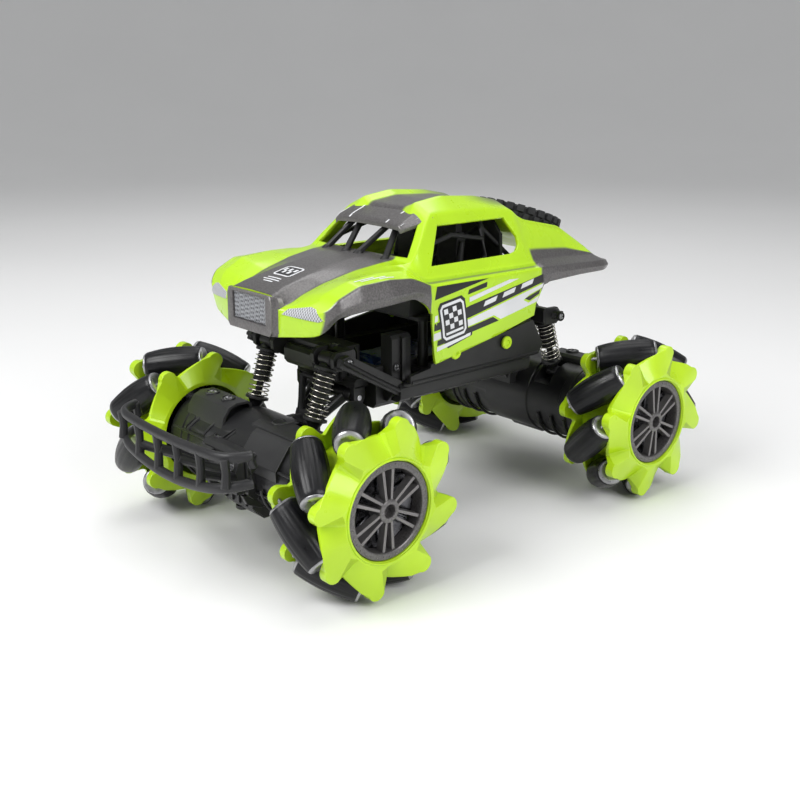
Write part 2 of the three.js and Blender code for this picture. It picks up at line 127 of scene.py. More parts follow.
# ---- materials ----
class Shader:
    """A new material with short ways to add its nodes. Coordinates are the piece's own, in metres."""

    def __init__(self, name, colour, roughness, metallic=0.0, coat=0.0, coat_roughness=0.1, specular=0.5):
        self.material = bpy.data.materials.new(name)
        self.material.use_nodes = True
        self.material.diffuse_color = (*colour, 1)
        self.nodes = self.material.node_tree.nodes
        self.links = self.material.node_tree.links
        self.surface = self.nodes["Principled BSDF"]
        self.surface.inputs["Base Color"].default_value = (*colour, 1)
        self.surface.inputs["Roughness"].default_value = roughness
        self.surface.inputs["Metallic"].default_value = metallic
        self.surface.inputs["Coat Weight"].default_value = coat
        self.surface.inputs["Coat Roughness"].default_value = coat_roughness
        self.surface.inputs["Specular IOR Level"].default_value = specular
        self.coordinates = self.nodes.new("ShaderNodeTexCoord").outputs["Object"]

    def noise(self, scale, detail=3.0):
        noise = self.nodes.new("ShaderNodeTexNoise")
        noise.inputs["Scale"].default_value = scale
        noise.inputs["Detail"].default_value = detail
        self.links.new(self.coordinates, noise.inputs["Vector"])
        return noise.outputs["Fac"]

    def ramp(self, value, low, high, start=0.3, stop=0.7):
        """value from start to stop becomes low to high: two numbers or two colours."""
        ramp = self.nodes.new("ShaderNodeValToRGB")
        ramp.color_ramp.elements[0].position = start
        ramp.color_ramp.elements[1].position = stop
        for element, level in zip(ramp.color_ramp.elements, (low, high)):
            level = level if hasattr(level, "__len__") else (level,) * 3
            element.color = (*level, 1)
        self.links.new(value, ramp.inputs["Fac"])
        return ramp.outputs["Color"]

    def mix(self, factor, first, second):
        mix = self.nodes.new("ShaderNodeMix")
        mix.data_type = "RGBA"
        for socket, value in ((mix.inputs[0], factor), (mix.inputs[6], first), (mix.inputs[7], second)):
            if isinstance(value, bpy.types.NodeSocket):
                self.links.new(value, socket)
            elif socket.type == "RGBA":
                socket.default_value = (*value, 1)
            else:
                socket.default_value = value
        return mix.outputs[2]

    def attribute(self, name):
        node = self.nodes.new("ShaderNodeAttribute")
        node.attribute_name = name
        return node.outputs["Fac"]

    def edges(self, start=0.52, stop=0.6):
        """0 on flat faces, rising to 1 on worn outer edges."""
        geometry = self.nodes.new("ShaderNodeNewGeometry")
        return self.ramp(geometry.outputs["Pointiness"], 0.0, 1.0, start, stop)

    def set(self, socket, value):
        self.links.new(value, self.surface.inputs[socket])
        return self

    def bump(self, height, strength, distance=0.0002):
        bump = self.nodes.new("ShaderNodeBump")
        bump.inputs["Strength"].default_value = strength
        bump.inputs["Distance"].default_value = distance
        self.links.new(height, bump.inputs["Height"])
        return self.set("Normal", bump.outputs["Normal"])


def tint(colour, factor):
    """A colour made brighter or darker."""
    return tuple(min(channel * factor, 1.0) for channel in colour)


def plastic(name, colour, roughness, grain=900, bump=0.12, wear=0.0, coat=0.0, specular=0.5):
    """Moulded plastic: broad colour drift, uneven gloss, fine grain and slightly paler edges."""
    shader = Shader(name, colour, roughness, coat=coat, specular=specular)
    drift = shader.ramp(shader.noise(28, 2), tint(colour, 0.86), tint(colour, 1.12))
    if wear:
        worn = tuple(channel + wear for channel in colour)
        drift = shader.mix(shader.edges(), drift, worn)
    shader.set("Base Color", drift)
    gloss = shader.ramp(shader.noise(90, 4), roughness * 0.82, min(roughness * 1.22, 1.0))
    shader.set("Roughness", gloss)
    return shader.bump(shader.noise(grain, 2), bump).material


def metal(name, colour, roughness):
    """Plated or turned metal with faint streaks and spots of tarnish."""
    shader = Shader(name, colour, roughness, metallic=1.0)
    shader.set("Base Color", shader.ramp(shader.noise(160, 3), tint(colour, 0.72), tint(colour, 1.1)))
    shader.set("Roughness", shader.ramp(shader.noise(420, 3), roughness * 0.7, roughness * 1.5))
    return shader.bump(shader.noise(1500, 2), 0.05).material


def rubber(name, colour, roughness):
    """Moulded rubber: dusty patches, mould grain and scuffed edges."""
    shader = Shader(name, colour, roughness, specular=0.32)
    dust = shader.ramp(shader.noise(60, 5), tint(colour, 0.8), tint(colour, 1.7), 0.35, 0.75)
    shader.set("Base Color", shader.mix(shader.edges(0.53, 0.64), dust, tint(colour, 3.0)))
    shader.set("Roughness", shader.ramp(shader.noise(130, 4), roughness * 0.8, min(roughness * 1.3, 1.0)))
    return shader.bump(shader.noise(1500, 3), 0.25).material


GREEN = (0.46, 0.70, 0.008)
BODY_GREEN = (0.43, 0.695, 0.009)
GUNMETAL = (0.118, 0.112, 0.112)
BLACK = (0.0060, 0.0060, 0.0066)


def body_paint():
    """Green plastic with gunmetal sprayed where the paint attribute says: paint on most of the body, and in
    the belt groove partly painted shade.
    """
    shader = Shader("body_paint", BODY_GREEN, 0.3, coat=0.35, coat_roughness=0.12)
    painted = shader.ramp(shader.attribute("paint"), 0.0, 1.0, 0.05, 0.95)
    speckle = shader.ramp(shader.noise(1100, 3), tint(GUNMETAL, 0.8), tint(GUNMETAL, 1.3), 0.35, 0.65)
    green = shader.ramp(shader.noise(24, 2), tint(BODY_GREEN, 0.93), tint(BODY_GREEN, 1.06))
    shader.set("Base Color", shader.mix(painted, green, speckle))
    shader.set("Metallic", shader.mix(painted, (0.0,) * 3, (0.55,) * 3))
    gloss = shader.ramp(shader.noise(70, 4), 0.24, 0.34)
    shader.set("Roughness", shader.mix(painted, gloss, (0.4,) * 3))
    return shader.bump(shader.noise(260, 2), 0.06).material


def gunmetal(name, roughness):
    """Metallic spray paint with fine flakes."""
    shader = Shader(name, GUNMETAL, roughness, metallic=0.55, coat=0.15)
    flakes = shader.ramp(shader.noise(1100, 3), tint(GUNMETAL, 0.78), tint(GUNMETAL, 1.3), 0.35, 0.65)
    shader.set("Base Color", shader.mix(shader.edges(), flakes, tint(GUNMETAL, 1.9)))
    shader.set("Roughness", shader.ramp(shader.noise(80, 3), roughness * 0.85, roughness * 1.2))
    return shader.bump(shader.noise(900, 2), 0.06).material


def woven_mesh(name, colour):
    """Pale lamp and grille insert with a fine moulded lattice."""
    shader = Shader(name, colour, 0.35, coat=0.3)
    waves = []
    for turn in (math.radians(35), math.radians(-35)):
        mapping = shader.nodes.new("ShaderNodeMapping")
        mapping.inputs["Rotation"].default_value = (0, turn, 0)
        shader.links.new(shader.coordinates, mapping.inputs["Vector"])
        wave = shader.nodes.new("ShaderNodeTexWave")
        wave.inputs["Scale"].default_value = 260
        wave.bands_direction = "X"
        shader.links.new(mapping.outputs["Vector"], wave.inputs["Vector"])
        waves.append(wave.outputs["Fac"])
    lattice = shader.mix(0.5, waves[0], waves[1])
    shader.set("Base Color", shader.ramp(lattice, tint(colour, 0.34), tint(colour, 1.15), 0.25, 0.7))
    return shader.bump(lattice, 0.6, 0.0004).material


def add_materials():
    return {
        "body": body_paint(),
        "hub": plastic("hub_green_plastic", GREEN, 0.33, grain=500, bump=0.07, coat=0.25),
        "rim_green": plastic("green_plastic", GREEN, 0.36, grain=500, bump=0.07),
        "gunmetal": gunmetal("gunmetal_paint", 0.38),
        "rim": gunmetal("rim_gunmetal", 0.34),
        "dish": metal("dish_metal", (0.13, 0.13, 0.14), 0.24),
        "black": plastic("black_plastic", BLACK, 0.38, grain=1100, bump=0.2, wear=0.02, specular=0.36),
        "axle": plastic("axle_black_plastic", (0.0095, 0.0095, 0.0105), 0.34, bump=0.16, wear=0.03,
                        specular=0.42),
        "cockpit": plastic("cockpit_black_plastic", (0.008, 0.008, 0.009), 0.5, bump=0.3, wear=0.015,
                           specular=0.32),
        "charcoal": plastic("charcoal_plastic", (0.0105, 0.0105, 0.0118), 0.42, bump=0.2, wear=0.025,
                            specular=0.4),
        "roller": rubber("roller_rubber", (0.0055, 0.0055, 0.0065), 0.34),
        "tyre": rubber("tyre_rubber", (0.011, 0.011, 0.012), 0.62),
        "ring": metal("satin_ring", (0.42, 0.42, 0.43), 0.32),
        "chrome": metal("spring_wire", (0.62, 0.59, 0.53), 0.18),
        "steel": metal("screw_steel", (0.5, 0.5, 0.52), 0.3),
        "lamp": woven_mesh("lamp_mesh", (0.52, 0.53, 0.56)),
        "white": plastic("white_print", (0.72, 0.73, 0.75), 0.36, grain=700, bump=0.05),
        "print_black": plastic("black_print", (0.012, 0.012, 0.013), 0.33, grain=700, bump=0.05),
        "battery": plastic("battery_wrap", (0.02, 0.045, 0.2), 0.28, grain=300, bump=0.1, coat=0.4),
    }


# ---- mesh tools ----
class Soup:
    """Vertices and faces of closed bodies, collected for one piece."""

    def __init__(self):
        self.vertices = []
        self.faces = []

    def add(self, body, mirror=False):
        """Adds a (vertices, faces) body, and with mirror its image across x = 0."""
        vertices, faces = body
        for sign in (1, -1) if mirror else (1,):
            first = len(self.vertices)
            self.vertices += [(sign * v[0], v[1], v[2]) for v in vertices]
            turned = faces if sign > 0 else [tuple(reversed(face)) for face in faces]
            self.faces += [tuple(first + index for index in face) for face in turned]
        return self

    def join(self, other):
        """Adds all bodies of another soup."""
        return self.add((other.vertices, other.faces))

    def flipped(self, side, end):
        """The same bodies with x times side and y times end."""
        other = Soup()
        other.vertices = [(side * v[0], end * v[1], v[2]) for v in self.vertices]
        other.faces = [tuple(reversed(f)) for f in self.faces] if side * end < 0 else list(self.faces)
        return other


def axes_round(direction, up=(0, 0, 1)):
    """Two unit vectors across a direction; the first is as near to up as it can be."""
    along = Vector(direction).normalized()
    up = Vector(up)
    if abs(along.dot(up)) > 0.98:
        up = Vector((0, 1, 0))
    first = (up - along * up.dot(along)).normalized()
    return first, along.cross(first)


def around(axes, angle):
    """The unit vector at an angle in radians between two unit vectors, from the first to the second."""
    return axes[0] * math.cos(angle) + axes[1] * math.sin(angle)


def ring_faces(rings, count, close_ends=True, loop=False):
    """Faces of a tube of rings with count vertices each."""
    faces = []
    pairs = range(rings if loop else rings - 1)
    for ring in pairs:
        a, b = ring * count, ((ring + 1) % rings) * count
        for i in range(count):
            j = (i + 1) % count
            faces.append((a + i, a + j, b + j, b + i))
    if close_ends and not loop:
        faces.append(tuple(reversed(range(count))))
        faces.append(tuple(range((rings - 1) * count, rings * count)))
    return faces


def tube(points, radius, sides=16, up=(0, 0, 1), flat=1.0, loop=False):
    """A bar through points. radius is one number or one for each point; flat narrows the first axis."""
    points = [Vector(p) for p in points]
    radii = radius if hasattr(radius, "__len__") else [radius] * len(points)
    vertices = []
    for index, point in enumerate(points):
        before = points[index - 1] if index or loop else point
        after = points[(index + 1) % len(points)] if index < len(points) - 1 or loop else point
        first, second = axes_round(after - before, up)
        for corner in range(sides):
            angle = 2 * math.pi * (corner + 0.5) / sides
            offset = first * (math.cos(angle) * flat) + second * math.sin(angle)
            vertices.append(point + offset * radii[index])
    return vertices, ring_faces(len(points), sides, loop=loop)


def turned(profile, start, direction, segments=32, close_profile=False):
    """A body turned round an axis. profile is (radius, distance along the axis) pairs."""
    axes = axes_round(direction)
    along = Vector(direction).normalized()
    vertices = []
    for radius, distance in profile:
        for corner in range(segments):
            across = around(axes, 2 * math.pi * corner / segments)
            vertices.append(Vector(start) + along * distance + across * radius)
    faces = ring_faces(len(profile), segments, close_ends=not close_profile, loop=close_profile)
    return vertices, faces


def prism(outline, low, high, axis="x"):
    """A flat outline made thick along axis. Its pairs are (y, z), (x, z) or (x, y)."""
    order = {"x": lambda a, b, c: (c, a, b), "y": lambda a, b, c: (a, c, b), "z": lambda a, b, c: (a, b, c)}
    point = order[axis]
    count = len(outline)
    vertices = [point(a, b, level) for level in (low, high) for a, b in outline]
    return vertices, ring_faces(2, count)


def block(x, y, z):
    """A box from (low, high) pairs."""
    return prism([(x[0], y[0]), (x[1], y[0]), (x[1], y[1]), (x[0], y[1])], z[0], z[1], "z")


def new_mesh(name, vertices, faces, to_metres):
    mesh = bpy.data.meshes.new(name)
    mesh.from_pydata([to_metres(v) for v in vertices], [], faces)
    work = bmesh.new()
    work.from_mesh(mesh)
    bmesh.ops.recalc_face_normals(work, faces=work.faces)
    work.to_mesh(mesh)
    work.free()
    return mesh


def shade_smooth(mesh):
    for polygon in mesh.polygons:
        polygon.use_smooth = True


def smooth_edges(piece, bevel, angle=32):
    """Rounds a piece's edges and shades it smoothly between them."""
    shade_smooth(piece.data)
    if bevel:
        rounding = piece.modifiers.new("rounding", "BEVEL")
        rounding.width = bevel * MM
        rounding.segments = 2
        rounding.limit_method = "ANGLE"
        rounding.angle_limit = math.radians(angle)
    else:
        piece.data.set_sharp_from_angle(angle=math.radians(angle))
    normals = piece.modifiers.new("normals", "WEIGHTED_NORMAL")
    normals.keep_sharp = True


def show(name, mesh, material, body, stands_for=(), at=None):
    """Makes a mesh a piece that rides on a body. at is its place, when the mesh is in its own frame."""
    piece = bpy.data.objects.new(name, mesh)
    bpy.context.scene.collection.objects.link(piece)
    if not mesh.materials:
        mesh.materials.append(MATERIALS[material])
    if at is not None:
        piece.matrix_world = at
    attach(piece, body)
    if stands_for:
        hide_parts(*stands_for)
    return piece


def add_piece(name, soup, material, body, bevel=0.3, stands_for=(), at=None, angle=32):
    """Shows a soup as a piece with rounded edges. bevel is in millimetres, 0 for sharp ones."""
    to_metres = place if at is None else same
    mesh = new_mesh(name, soup.vertices, soup.faces, to_metres)
    piece = show(name, mesh, material, body, stands_for, at)
    smooth_edges(piece, bevel, angle)
    return piece


def screw(head, rod, place_at, normal, radius=1.7):
    """A cross-head screw in a raised black boss: rod takes the boss, head the steel."""
    base = Vector(place_at)
    normal = Vector(normal).normalized()
    rod.add(turned([(radius * 1.75, -1.2), (radius * 1.75, 0.5), (radius * 1.6, 0.8), (radius * 1.22, 0.8),
                    (radius * 1.2, -0.2), (0.02, -0.2)], base, normal, 24))
    head.add(turned([(radius * 1.1, -0.2), (radius * 1.1, 0.1), (0.02, 0.1)], base, normal, 20))
    first, second = axes_round(normal, (1, 0.4, 0))
    slot_half = radius * 0.2
    for quarter in range(4):
        turn = math.pi / 2 * quarter
        across = first * math.cos(turn) + second * math.sin(turn)
        beside = second * math.cos(turn) - first * math.sin(turn)
        outline = [(slot_half, slot_half), (radius, slot_half)]
        for step in (0.3, 0.5, 0.7):
            angle = math.pi / 2 * step
            outline.append((radius * 1.05 * math.cos(angle), radius * 1.05 * math.sin(angle)))
        outline.append((slot_half, radius))
        vertices = [base + across * a + beside * b + normal * level
                    for level in (0.0, 0.55) for a, b in outline]
        head.add((vertices, ring_faces(2, len(outline))))


MATERIALS = add_materials()
add_camera()
add_lights()
bpy.context.scene.view_settings.view_transform = "Standard"


def add_floor():
    """A pale studio floor that curves up into a backdrop all round."""
    vertices = []
    segments, steps = 96, 16
    flat, bend = 1.7, 1.6
    profile = [(0.9, 0.0), (flat, 0.0)]
    for step in range(1, steps + 1):
        angle = math.pi / 2 * step / steps
        profile.append((flat + bend * math.sin(angle), bend * (1 - math.cos(angle))))
    for radius, height in profile:
        for corner in range(segments):
            angle = 2 * math.pi * corner / segments
            vertices.append((radius * math.cos(angle), radius * math.sin(angle), height))
    faces = [tuple(reversed(face)) for face in ring_faces(len(profile), segments, close_ends=False)]
    faces.append(tuple(range(segments)))
    mesh = bpy.data.meshes.new("floor")
    mesh.from_pydata(vertices, [], faces)
    shade_smooth(mesh)
    floor = bpy.data.objects.new("floor", mesh)
    bpy.context.scene.collection.objects.link(floor)
    shader = Shader("floor_paper", (0.86, 0.86, 0.86), 0.6)
    shader.set("Base Color", shader.ramp(shader.noise(3, 2), (0.85,) * 3, (0.87,) * 3))
    mesh.materials.append(shader.material)


add_floor()

# ---- wheels ----
# In a wheel's own frame +X points outward and the lobes lie in the YZ plane.
ROLLERS_PER_WHEEL = 8
LOBE_ANGLE = 78.5
PIN_CIRCLE = 39.2
PIN_OUTER, PIN_INNER, PIN_TWIST = 14.5, -16.6, 45
ROLLER_HALF = 15.4
WHEEL_RADIUS = 45
RIM_RADIUS = 23.6


def polar(radius, degrees):
    """The y and z of a point in a wheel's plane."""
    return radius * math.cos(math.radians(degrees)), radius * math.sin(math.radians(degrees))


def lobe_outline():
    """One lobe's tip and the slope over its roller, as rows of degrees from the pin, radius, fall of
    the face below the hub's, and thickness; the tip's thickness is None, for it reaches the back."""
    points = []
    tip_centre, tip_radius = 38.1, 4.6
    for turn in (-84, -64, -46, -28, -10, 8, 26, 44, 60):
        across, out = polar(tip_radius, 90 - turn)
        x, y = tip_centre + out, across
        points.append((math.degrees(math.atan2(y, x)), math.hypot(x, y), 1.0, None))
    slope = [(12, 39.4, 2.2, 0.9), (18, 37.6, 3.6, 1.4), (25, 36.0, 5.4, 1.8), (31, 34.8, 7.0, 2.2),
             (34, 34.2, 7.6, 2.4), (36.6, 35.2, 6.5, 3.0)]
    return points + slope


def crown(x_face, x_back, towards, first_pin, hole, lean):
    """A lobed plate whose outer face is faceted: a blade runs from the hub to each lobe's tip.

    towards is 1 or -1, the way each lobe's roller leaves its pin; lean scales the falls of the face.
    """
    flat_radius = hole + 2.2
    apex_radius = hole + 4.4
    front, back, inner, tips = [], [], [], []
    outline = lobe_outline()
    for lobe in range(ROLLERS_PER_WHEEL):
        pin = first_pin + towards * lobe * 45
        for offset, radius, fall, thickness in outline:
            angle = pin + towards * offset
            is_tip = thickness is None
            level = x_face - lean * fall
            front.append((level, *polar(radius, angle)))
            back.append((x_back if is_tip else level - thickness, *polar(radius, angle)))
            reach = apex_radius if is_tip else flat_radius
            inner.append((x_face, *polar(reach, pin if is_tip else angle)))
            tips.append(is_tip)
    count = len(front)
    rim_front = [(x_face - lean * 0.6, *polar(hole, math.degrees(math.atan2(v[2], v[1])))) for v in inner]
    rim_back = [(x_back, v[1], v[2]) for v in rim_front]
    vertices = front + back + inner + rim_front + rim_back
    faces = []
    f, b, n, rf, rb = (base * count for base in range(5))
    for i in range(count):
        j = (i + 1) % count
        faces += [(f + i, f + j, b + j, b + i), (b + i, b + j, rb + j, rb + i),
                  (rb + i, rb + j, rf + j, rf + i)]
        if not (tips[i] and tips[j]):
            faces += [(n + i, n + j, f + j, f + i), (rf + i, rf + j, n + j, n + i)]
        else:
            faces.append((n + i, f + j, f + i))
    return vertices, faces


def welded(soup):
    """Merges the vertices that coincide, so that a fan closes on one point."""
    gap = 0.02
    work = bmesh.new()
    handles = [work.verts.new(v) for v in soup.vertices]
    for face in soup.faces:
        corners = list(dict.fromkeys(face))
        if len(corners) > 2:
            work.faces.new([handles[index] for index in corners])
    bmesh.ops.remove_doubles(work, verts=work.verts, dist=gap)
    bmesh.ops.dissolve_degenerate(work, dist=gap / 2, edges=work.edges)
    work.verts.index_update()
    clean = Soup()
    clean.vertices = [tuple(v.co) for v in work.verts]
    clean.faces = [tuple(v.index for v in face.verts) for face in work.faces]
    work.free()
    return clean


def wheel_green(twist):
    """A hub's two crowns and its drum. twist is 1 or -1, the way its rollers slant."""
    soup = Soup()
    soup.add(crown(17.6, 11.6, twist, LOBE_ANGLE, RIM_RADIUS, 1.0))
    inner_crown = crown(18.6, 14.2, -twist, LOBE_ANGLE + twist * PIN_TWIST, 25.2, 0.5)
    soup.add(([(-v[0], v[1], v[2]) for v in inner_crown[0]], inner_crown[1]))
    soup.add(turned([(26.5, -16), (26.5, 12.4), (RIM_RADIUS + 0.2, 12.4), (RIM_RADIUS + 0.2, 9), (25.2, 7),
                     (25.2, -16)], (0, 0, 0), (1, 0, 0), 64, close_profile=True))
    soup.add(turned([(RIM_RADIUS + 1.5, 11.8), (RIM_RADIUS + 1.5, 17.7), (RIM_RADIUS + 0.9, 18.1),
                     (RIM_RADIUS + 0.3, 17.7), (RIM_RADIUS + 0.3, 11.8)], (0, 0, 0), (1, 0, 0), 96,
                    close_profile=True))
    return welded(soup)


def rim_face():
    """Rim ring with an inner lip, rivets, six twin spokes and a hollow centre boss."""
    soup = Soup()
    ring = [(RIM_RADIUS - 0.1, 10), (RIM_RADIUS - 0.1, 15.9), (RIM_RADIUS - 0.6, 16.5), (20.4, 16.7),
            (19.9, 16.4), (19.5, 15.2), (19.2, 10)]
    soup.add(turned(ring, (0, 0, 0), (1, 0, 0), 96, close_profile=True))
    rivets, spoke_pairs = 36, 6
    for rivet in range(rivets):
        head = [(0.36, 16.3), (0.36, 16.8), (0.2, 16.98), (0.02, 17.0)]
        soup.add(turned(head, (0, *polar(21.9, rivet * 360 / rivets)), (1, 0, 0), 8))
    for pair in range(spoke_pairs):
        middle = 90 + pair * 360 / spoke_pairs
        for side in (-1, 1):
            inner, outer = polar(5.0, middle + side * 17), polar(19.8, middle + side * 8.2)
            along = Vector((0, outer[0] - inner[0], outer[1] - inner[1])).normalized()
            across = Vector((0, -along.z, along.y))
            vertices = []
            for (y, z), half, top, low in ((inner, 0.75, 16.3, 12.5), (outer, 1.0, 15.7, 11.5)):
                centre = Vector((0, y, z))
                for offset, level in ((-half, low), (-half * 0.8, top), (half * 0.8, top), (half, low)):
                    vertices.append(centre + across * offset + Vector((level, 0, 0)))
            soup.add((vertices, ring_faces(2, 4)))
    boss = [(5.9, 9), (5.9, 15.6), (5.5, 16.5), (4.5, 17.0), (3.4, 16.9), (3.0, 16.2), (3.0, 12.5),
            (0.02, 12.5)]
    soup.add(turned(boss, (0, 0, 0), (1, 0, 0), 40))
    return soup


def wheel_dish():
    """Dark bowl behind the spokes, with the bearing tube that holds the wheel on its shaft."""
    soup = Soup()
    bowl = [(25.0, 10.2), (19.0, 9.6), (16.5, 8.4), (12, 7.2), (7.4, 7.6), (6.4, 9.2), (6.0, 9.2),
            (6.0, -8), (4.2, -8), (4.2, 5.0), (12, 5.2), (17.5, 6.2), (25.0, 7.6)]
    soup.add(turned(bowl, (0, 0, 0), (1, 0, 0), 72, close_profile=True))
    for rib in range(6):
        angle = rib * 60 + 30
        outer, inner = polar(18.6, angle), polar(6.6, angle)
        soup.add(tube([(8.0, *inner), (8.6, *polar(13, angle)), (9.6, *outer)], 0.8, 8))
    return soup


def pin_ends(twist, index):
    """A roller pin's outer and inner ends."""
    angle = LOBE_ANGLE + index * 45
    outer = Vector((PIN_OUTER, *polar(PIN_CIRCLE, angle)))
    inner = Vector((PIN_INNER, *polar(PIN_CIRCLE, angle + twist * PIN_TWIST)))
    return outer, inner


def barrel_radius(distance):
    """A roller's radius at a distance from its middle, so that all of them make one round tread."""
    outer, inner = pin_ends(1, 0)
    tilt = 2 * PIN_CIRCLE * math.sin(math.radians(PIN_TWIST / 2)) / (outer - inner).length
    return WHEEL_RADIUS - math.hypot(PIN_CIRCLE * math.cos(math.radians(PIN_TWIST / 2)), distance * tilt)


def roller_mesh():
    """Rubber barrel along Z with shallow lengthwise flutes."""
    segments, flutes = 96, 16
    stations = [(-ROLLER_HALF, 0.93), (-15.1, 0.985)] + [(-15 + 30 * i / 14, 1.0) for i in range(15)]
    stations += [(15.1, 0.985), (ROLLER_HALF, 0.93)]
    vertices = []
    for distance, shrink in stations:
        fade = 1 - (abs(distance) / ROLLER_HALF) ** 6
        for corner in range(segments):
            wave = math.cos(2 * math.pi * corner * flutes / segments)
            depth = 0.22 * fade * max(0.0, -wave) ** 2
            radius = barrel_radius(distance) * shrink - depth
            angle = 2 * math.pi * corner / segments
            vertices.append((radius * math.cos(angle), radius * math.sin(angle), distance))
    mesh = new_mesh("roller", vertices, ring_faces(len(stations), segments), same)
    mesh.materials.append(MATERIALS["roller"])
    return mesh


def roller_ring_mesh():
    """The two stepped metal rings at a roller's ends."""
    soup = Soup()
    end = barrel_radius(ROLLER_HALF)
    for way in (1, -1):
        profile = [(end * 0.97, 14.9), (end * 0.97, 15.6), (end * 0.9, 16.3), (end * 0.72, 16.6),
                   (end * 0.6, 16.45), (1.7, 16.3), (1.7, 14.9)]
        soup.add(turned(profile, (0, 0, 0), (0, 0, way), 40, close_profile=True))
    mesh = new_mesh("roller_ring", soup.vertices, soup.faces, same)
    mesh.materials.append(MATERIALS["ring"])
    return mesh


def pin_set(twist):
    """The eight steel pins that the rollers turn on."""
    soup = Soup()
    for index in range(ROLLERS_PER_WHEEL):
        outer, inner = pin_ends(twist, index)
        soup.add(tube([outer, inner], 1.1, 12))
    return soup


def add_wheels():
    roller, rings = roller_mesh(), roller_ring_mesh()
    for mesh in (roller, rings):
        shade_smooth(mesh)
    rings.set_sharp_from_angle(angle=math.radians(35))
    roller.set_sharp_from_angle(angle=math.radians(50))
    for end, side in CORNERS:
        corner = f"{end}_{side}"
        body = f"wheel_{corner}"
        twist = ENDS[end]
        at = Matrix.Translation(wheel_centre(end, side))
        hub = [f"wheel_hub_{corner}"]

        def wheel_piece(name, soup, material, bevel, angle=32):
            turned_soup = soup.flipped(SIDES[side], 1)
            return add_piece(f"{name}_{corner}", turned_soup, material, body, bevel, hub, at, angle)

        wheel_piece("hub", wheel_green(twist), "hub", 0.28, 14)
        wheel_piece("rim", rim_face(), "rim", 0.18)
        wheel_piece("dish", wheel_dish(), "dish", 0.0)
        wheel_piece("roller_pins", pin_set(twist), "steel", 0.0)
        for index in range(ROLLERS_PER_WHEEL):
            name = f"roller_{corner}_{index + 1}"
            outer, inner = (Vector((SIDES[side] * p.x, p.y, p.z)) for p in pin_ends(twist, index))
            turn = (outer - inner).to_track_quat("Z", "Y").to_matrix().to_4x4()
            place_at = at @ Matrix.Translation((outer + inner) / 2 * MM) @ turn
            show(f"{name}_barrel", roller, "roller", name, [name], place_at)
            show(f"{name}_rings", rings, "ring", name, [name], place_at)


add_wheels()


# ---- body shell ----
# Each row is a cross-section's half: y, then eight pairs of x and z from the lower edge over the
# belt, shoulder, roof edge and hood strip to the centreline.
STATIONS = [
    (-104, 20.6, 112.2, 21, 117, 21.2, 122, 21.2, 124, 21.2, 125, 21, 125.8, 16.8, 131.6, 0, 132),
    (-97, 45, 115.4, 47.8, 121, 49.4, 127, 40, 130, 31, 129.6, 22.6, 128.3, 15.4, 134.2, 0, 134.5),
    (-92, 51.2, 124.6, 53, 128, 51.6, 133, 41, 134.6, 31, 133, 23, 131, 15, 135.4, 0, 135.8),
    (-80, 53, 126, 55, 130.5, 53, 138.3, 44, 139.6, 33, 137.4, 24.2, 135.3, 13.6, 138.4, 0, 138.8),
    (-62, 54, 127, 56, 131.5, 53, 138.9, 44, 141, 34, 140.6, 26.4, 139.8, 12, 141.8, 0, 142.2),
    (-47, 53.2, 127.8, 54.8, 131.5, 52.2, 137.4, 45, 140.6, 36, 141.8, 28, 142, 13, 143.6, 0, 143.8),
    (-38, 51.5, 123.5, 52, 129, 51, 134, 45, 137, 40, 142, 28, 142.8, 13, 143.4, 0, 143.6),
    (-32.5, 50.5, 118.5, 51.2, 126, 50.5, 132, 45.5, 135.3, 39, 147.5, 26, 149.6, 13, 149.9, 0, 150),
    (-30.5, 49.5, 90, 51, 112, 50.4, 132, 45.4, 135.2, 38, 149.5, 26, 152.2, 13, 152.3, 0, 152.4),
    (-18, 49.6, 90, 51, 113, 50.3, 132, 45.2, 135, 31.5, 163.2, 19.6, 168.3, 14.6, 165.9, 0, 165.6),
    (0, 49.8, 92, 50.8, 115, 50.2, 132, 44.8, 134.6, 31.2, 163.6, 19.6, 170.6, 14.6, 168, 0, 167.6),
    (25, 50, 95, 50.5, 117, 50, 131.8, 44.6, 134.2, 31, 162.8, 19.6, 168.6, 14.6, 166.7, 0, 166.4),
    (43, 49.8, 100, 50.2, 119, 49.8, 131.5, 44, 133.8, 31, 160.4, 19.6, 164.8, 14.6, 163.8, 0, 163.6),
    (46.5, 49.6, 104, 50, 121, 49.7, 131.4, 43.6, 133.8, 30.8, 157.6, 28.6, 150, 14, 149.6, 0, 149.4),
    (52, 49.4, 122.8, 49.8, 127.6, 49.6, 131, 43, 134.6, 30.8, 155, 28.6, 147.4, 14, 147.1, 0, 147),
    (80, 49, 123.6, 49.6, 126.6, 49, 130, 40, 133, 30.6, 149, 28.6, 137, 14, 136.8, 0, 136.8),
    (101, 48.6, 123.4, 49.2, 126, 48, 129, 41, 131.4, 36, 134, 29, 130, 14, 129.7, 0, 129.6),
    (107, 46, 124, 47, 126, 45, 128.4, 38, 128.9, 31, 129, 20, 128.7, 10, 128.5, 0, 128.4),
]
# Which of the eight pairs each line along the body is.
BELT, SHOULDER, ROOF_EDGE, STRIP_FOOT, CENTRE = 2, 3, 4, 5, 7
SAMPLES = (12, 14, 16, 30, 16, 12, 14)
ROW_STEP = 0.75
SKIN = 1.6
DOOR = (-32, 46)
GROOVE_DEPTH = 1.5
DOOR_OUTLINE = [(-40, 118.6), (-32.8, 118), (-32.4, 98.4), (-30.2, 91.4), (15.5, 99.9), (42.4, 106.2),
                (43.4, 112), (49.6, 121.8), (60, 122.9)]


def smoothstep(low, high, value):
    """0 below low, 1 above high and a smooth rise between."""
    t = np.clip((value - low) / (high - low), 0, 1)
    return t * t * (3 - 2 * t)


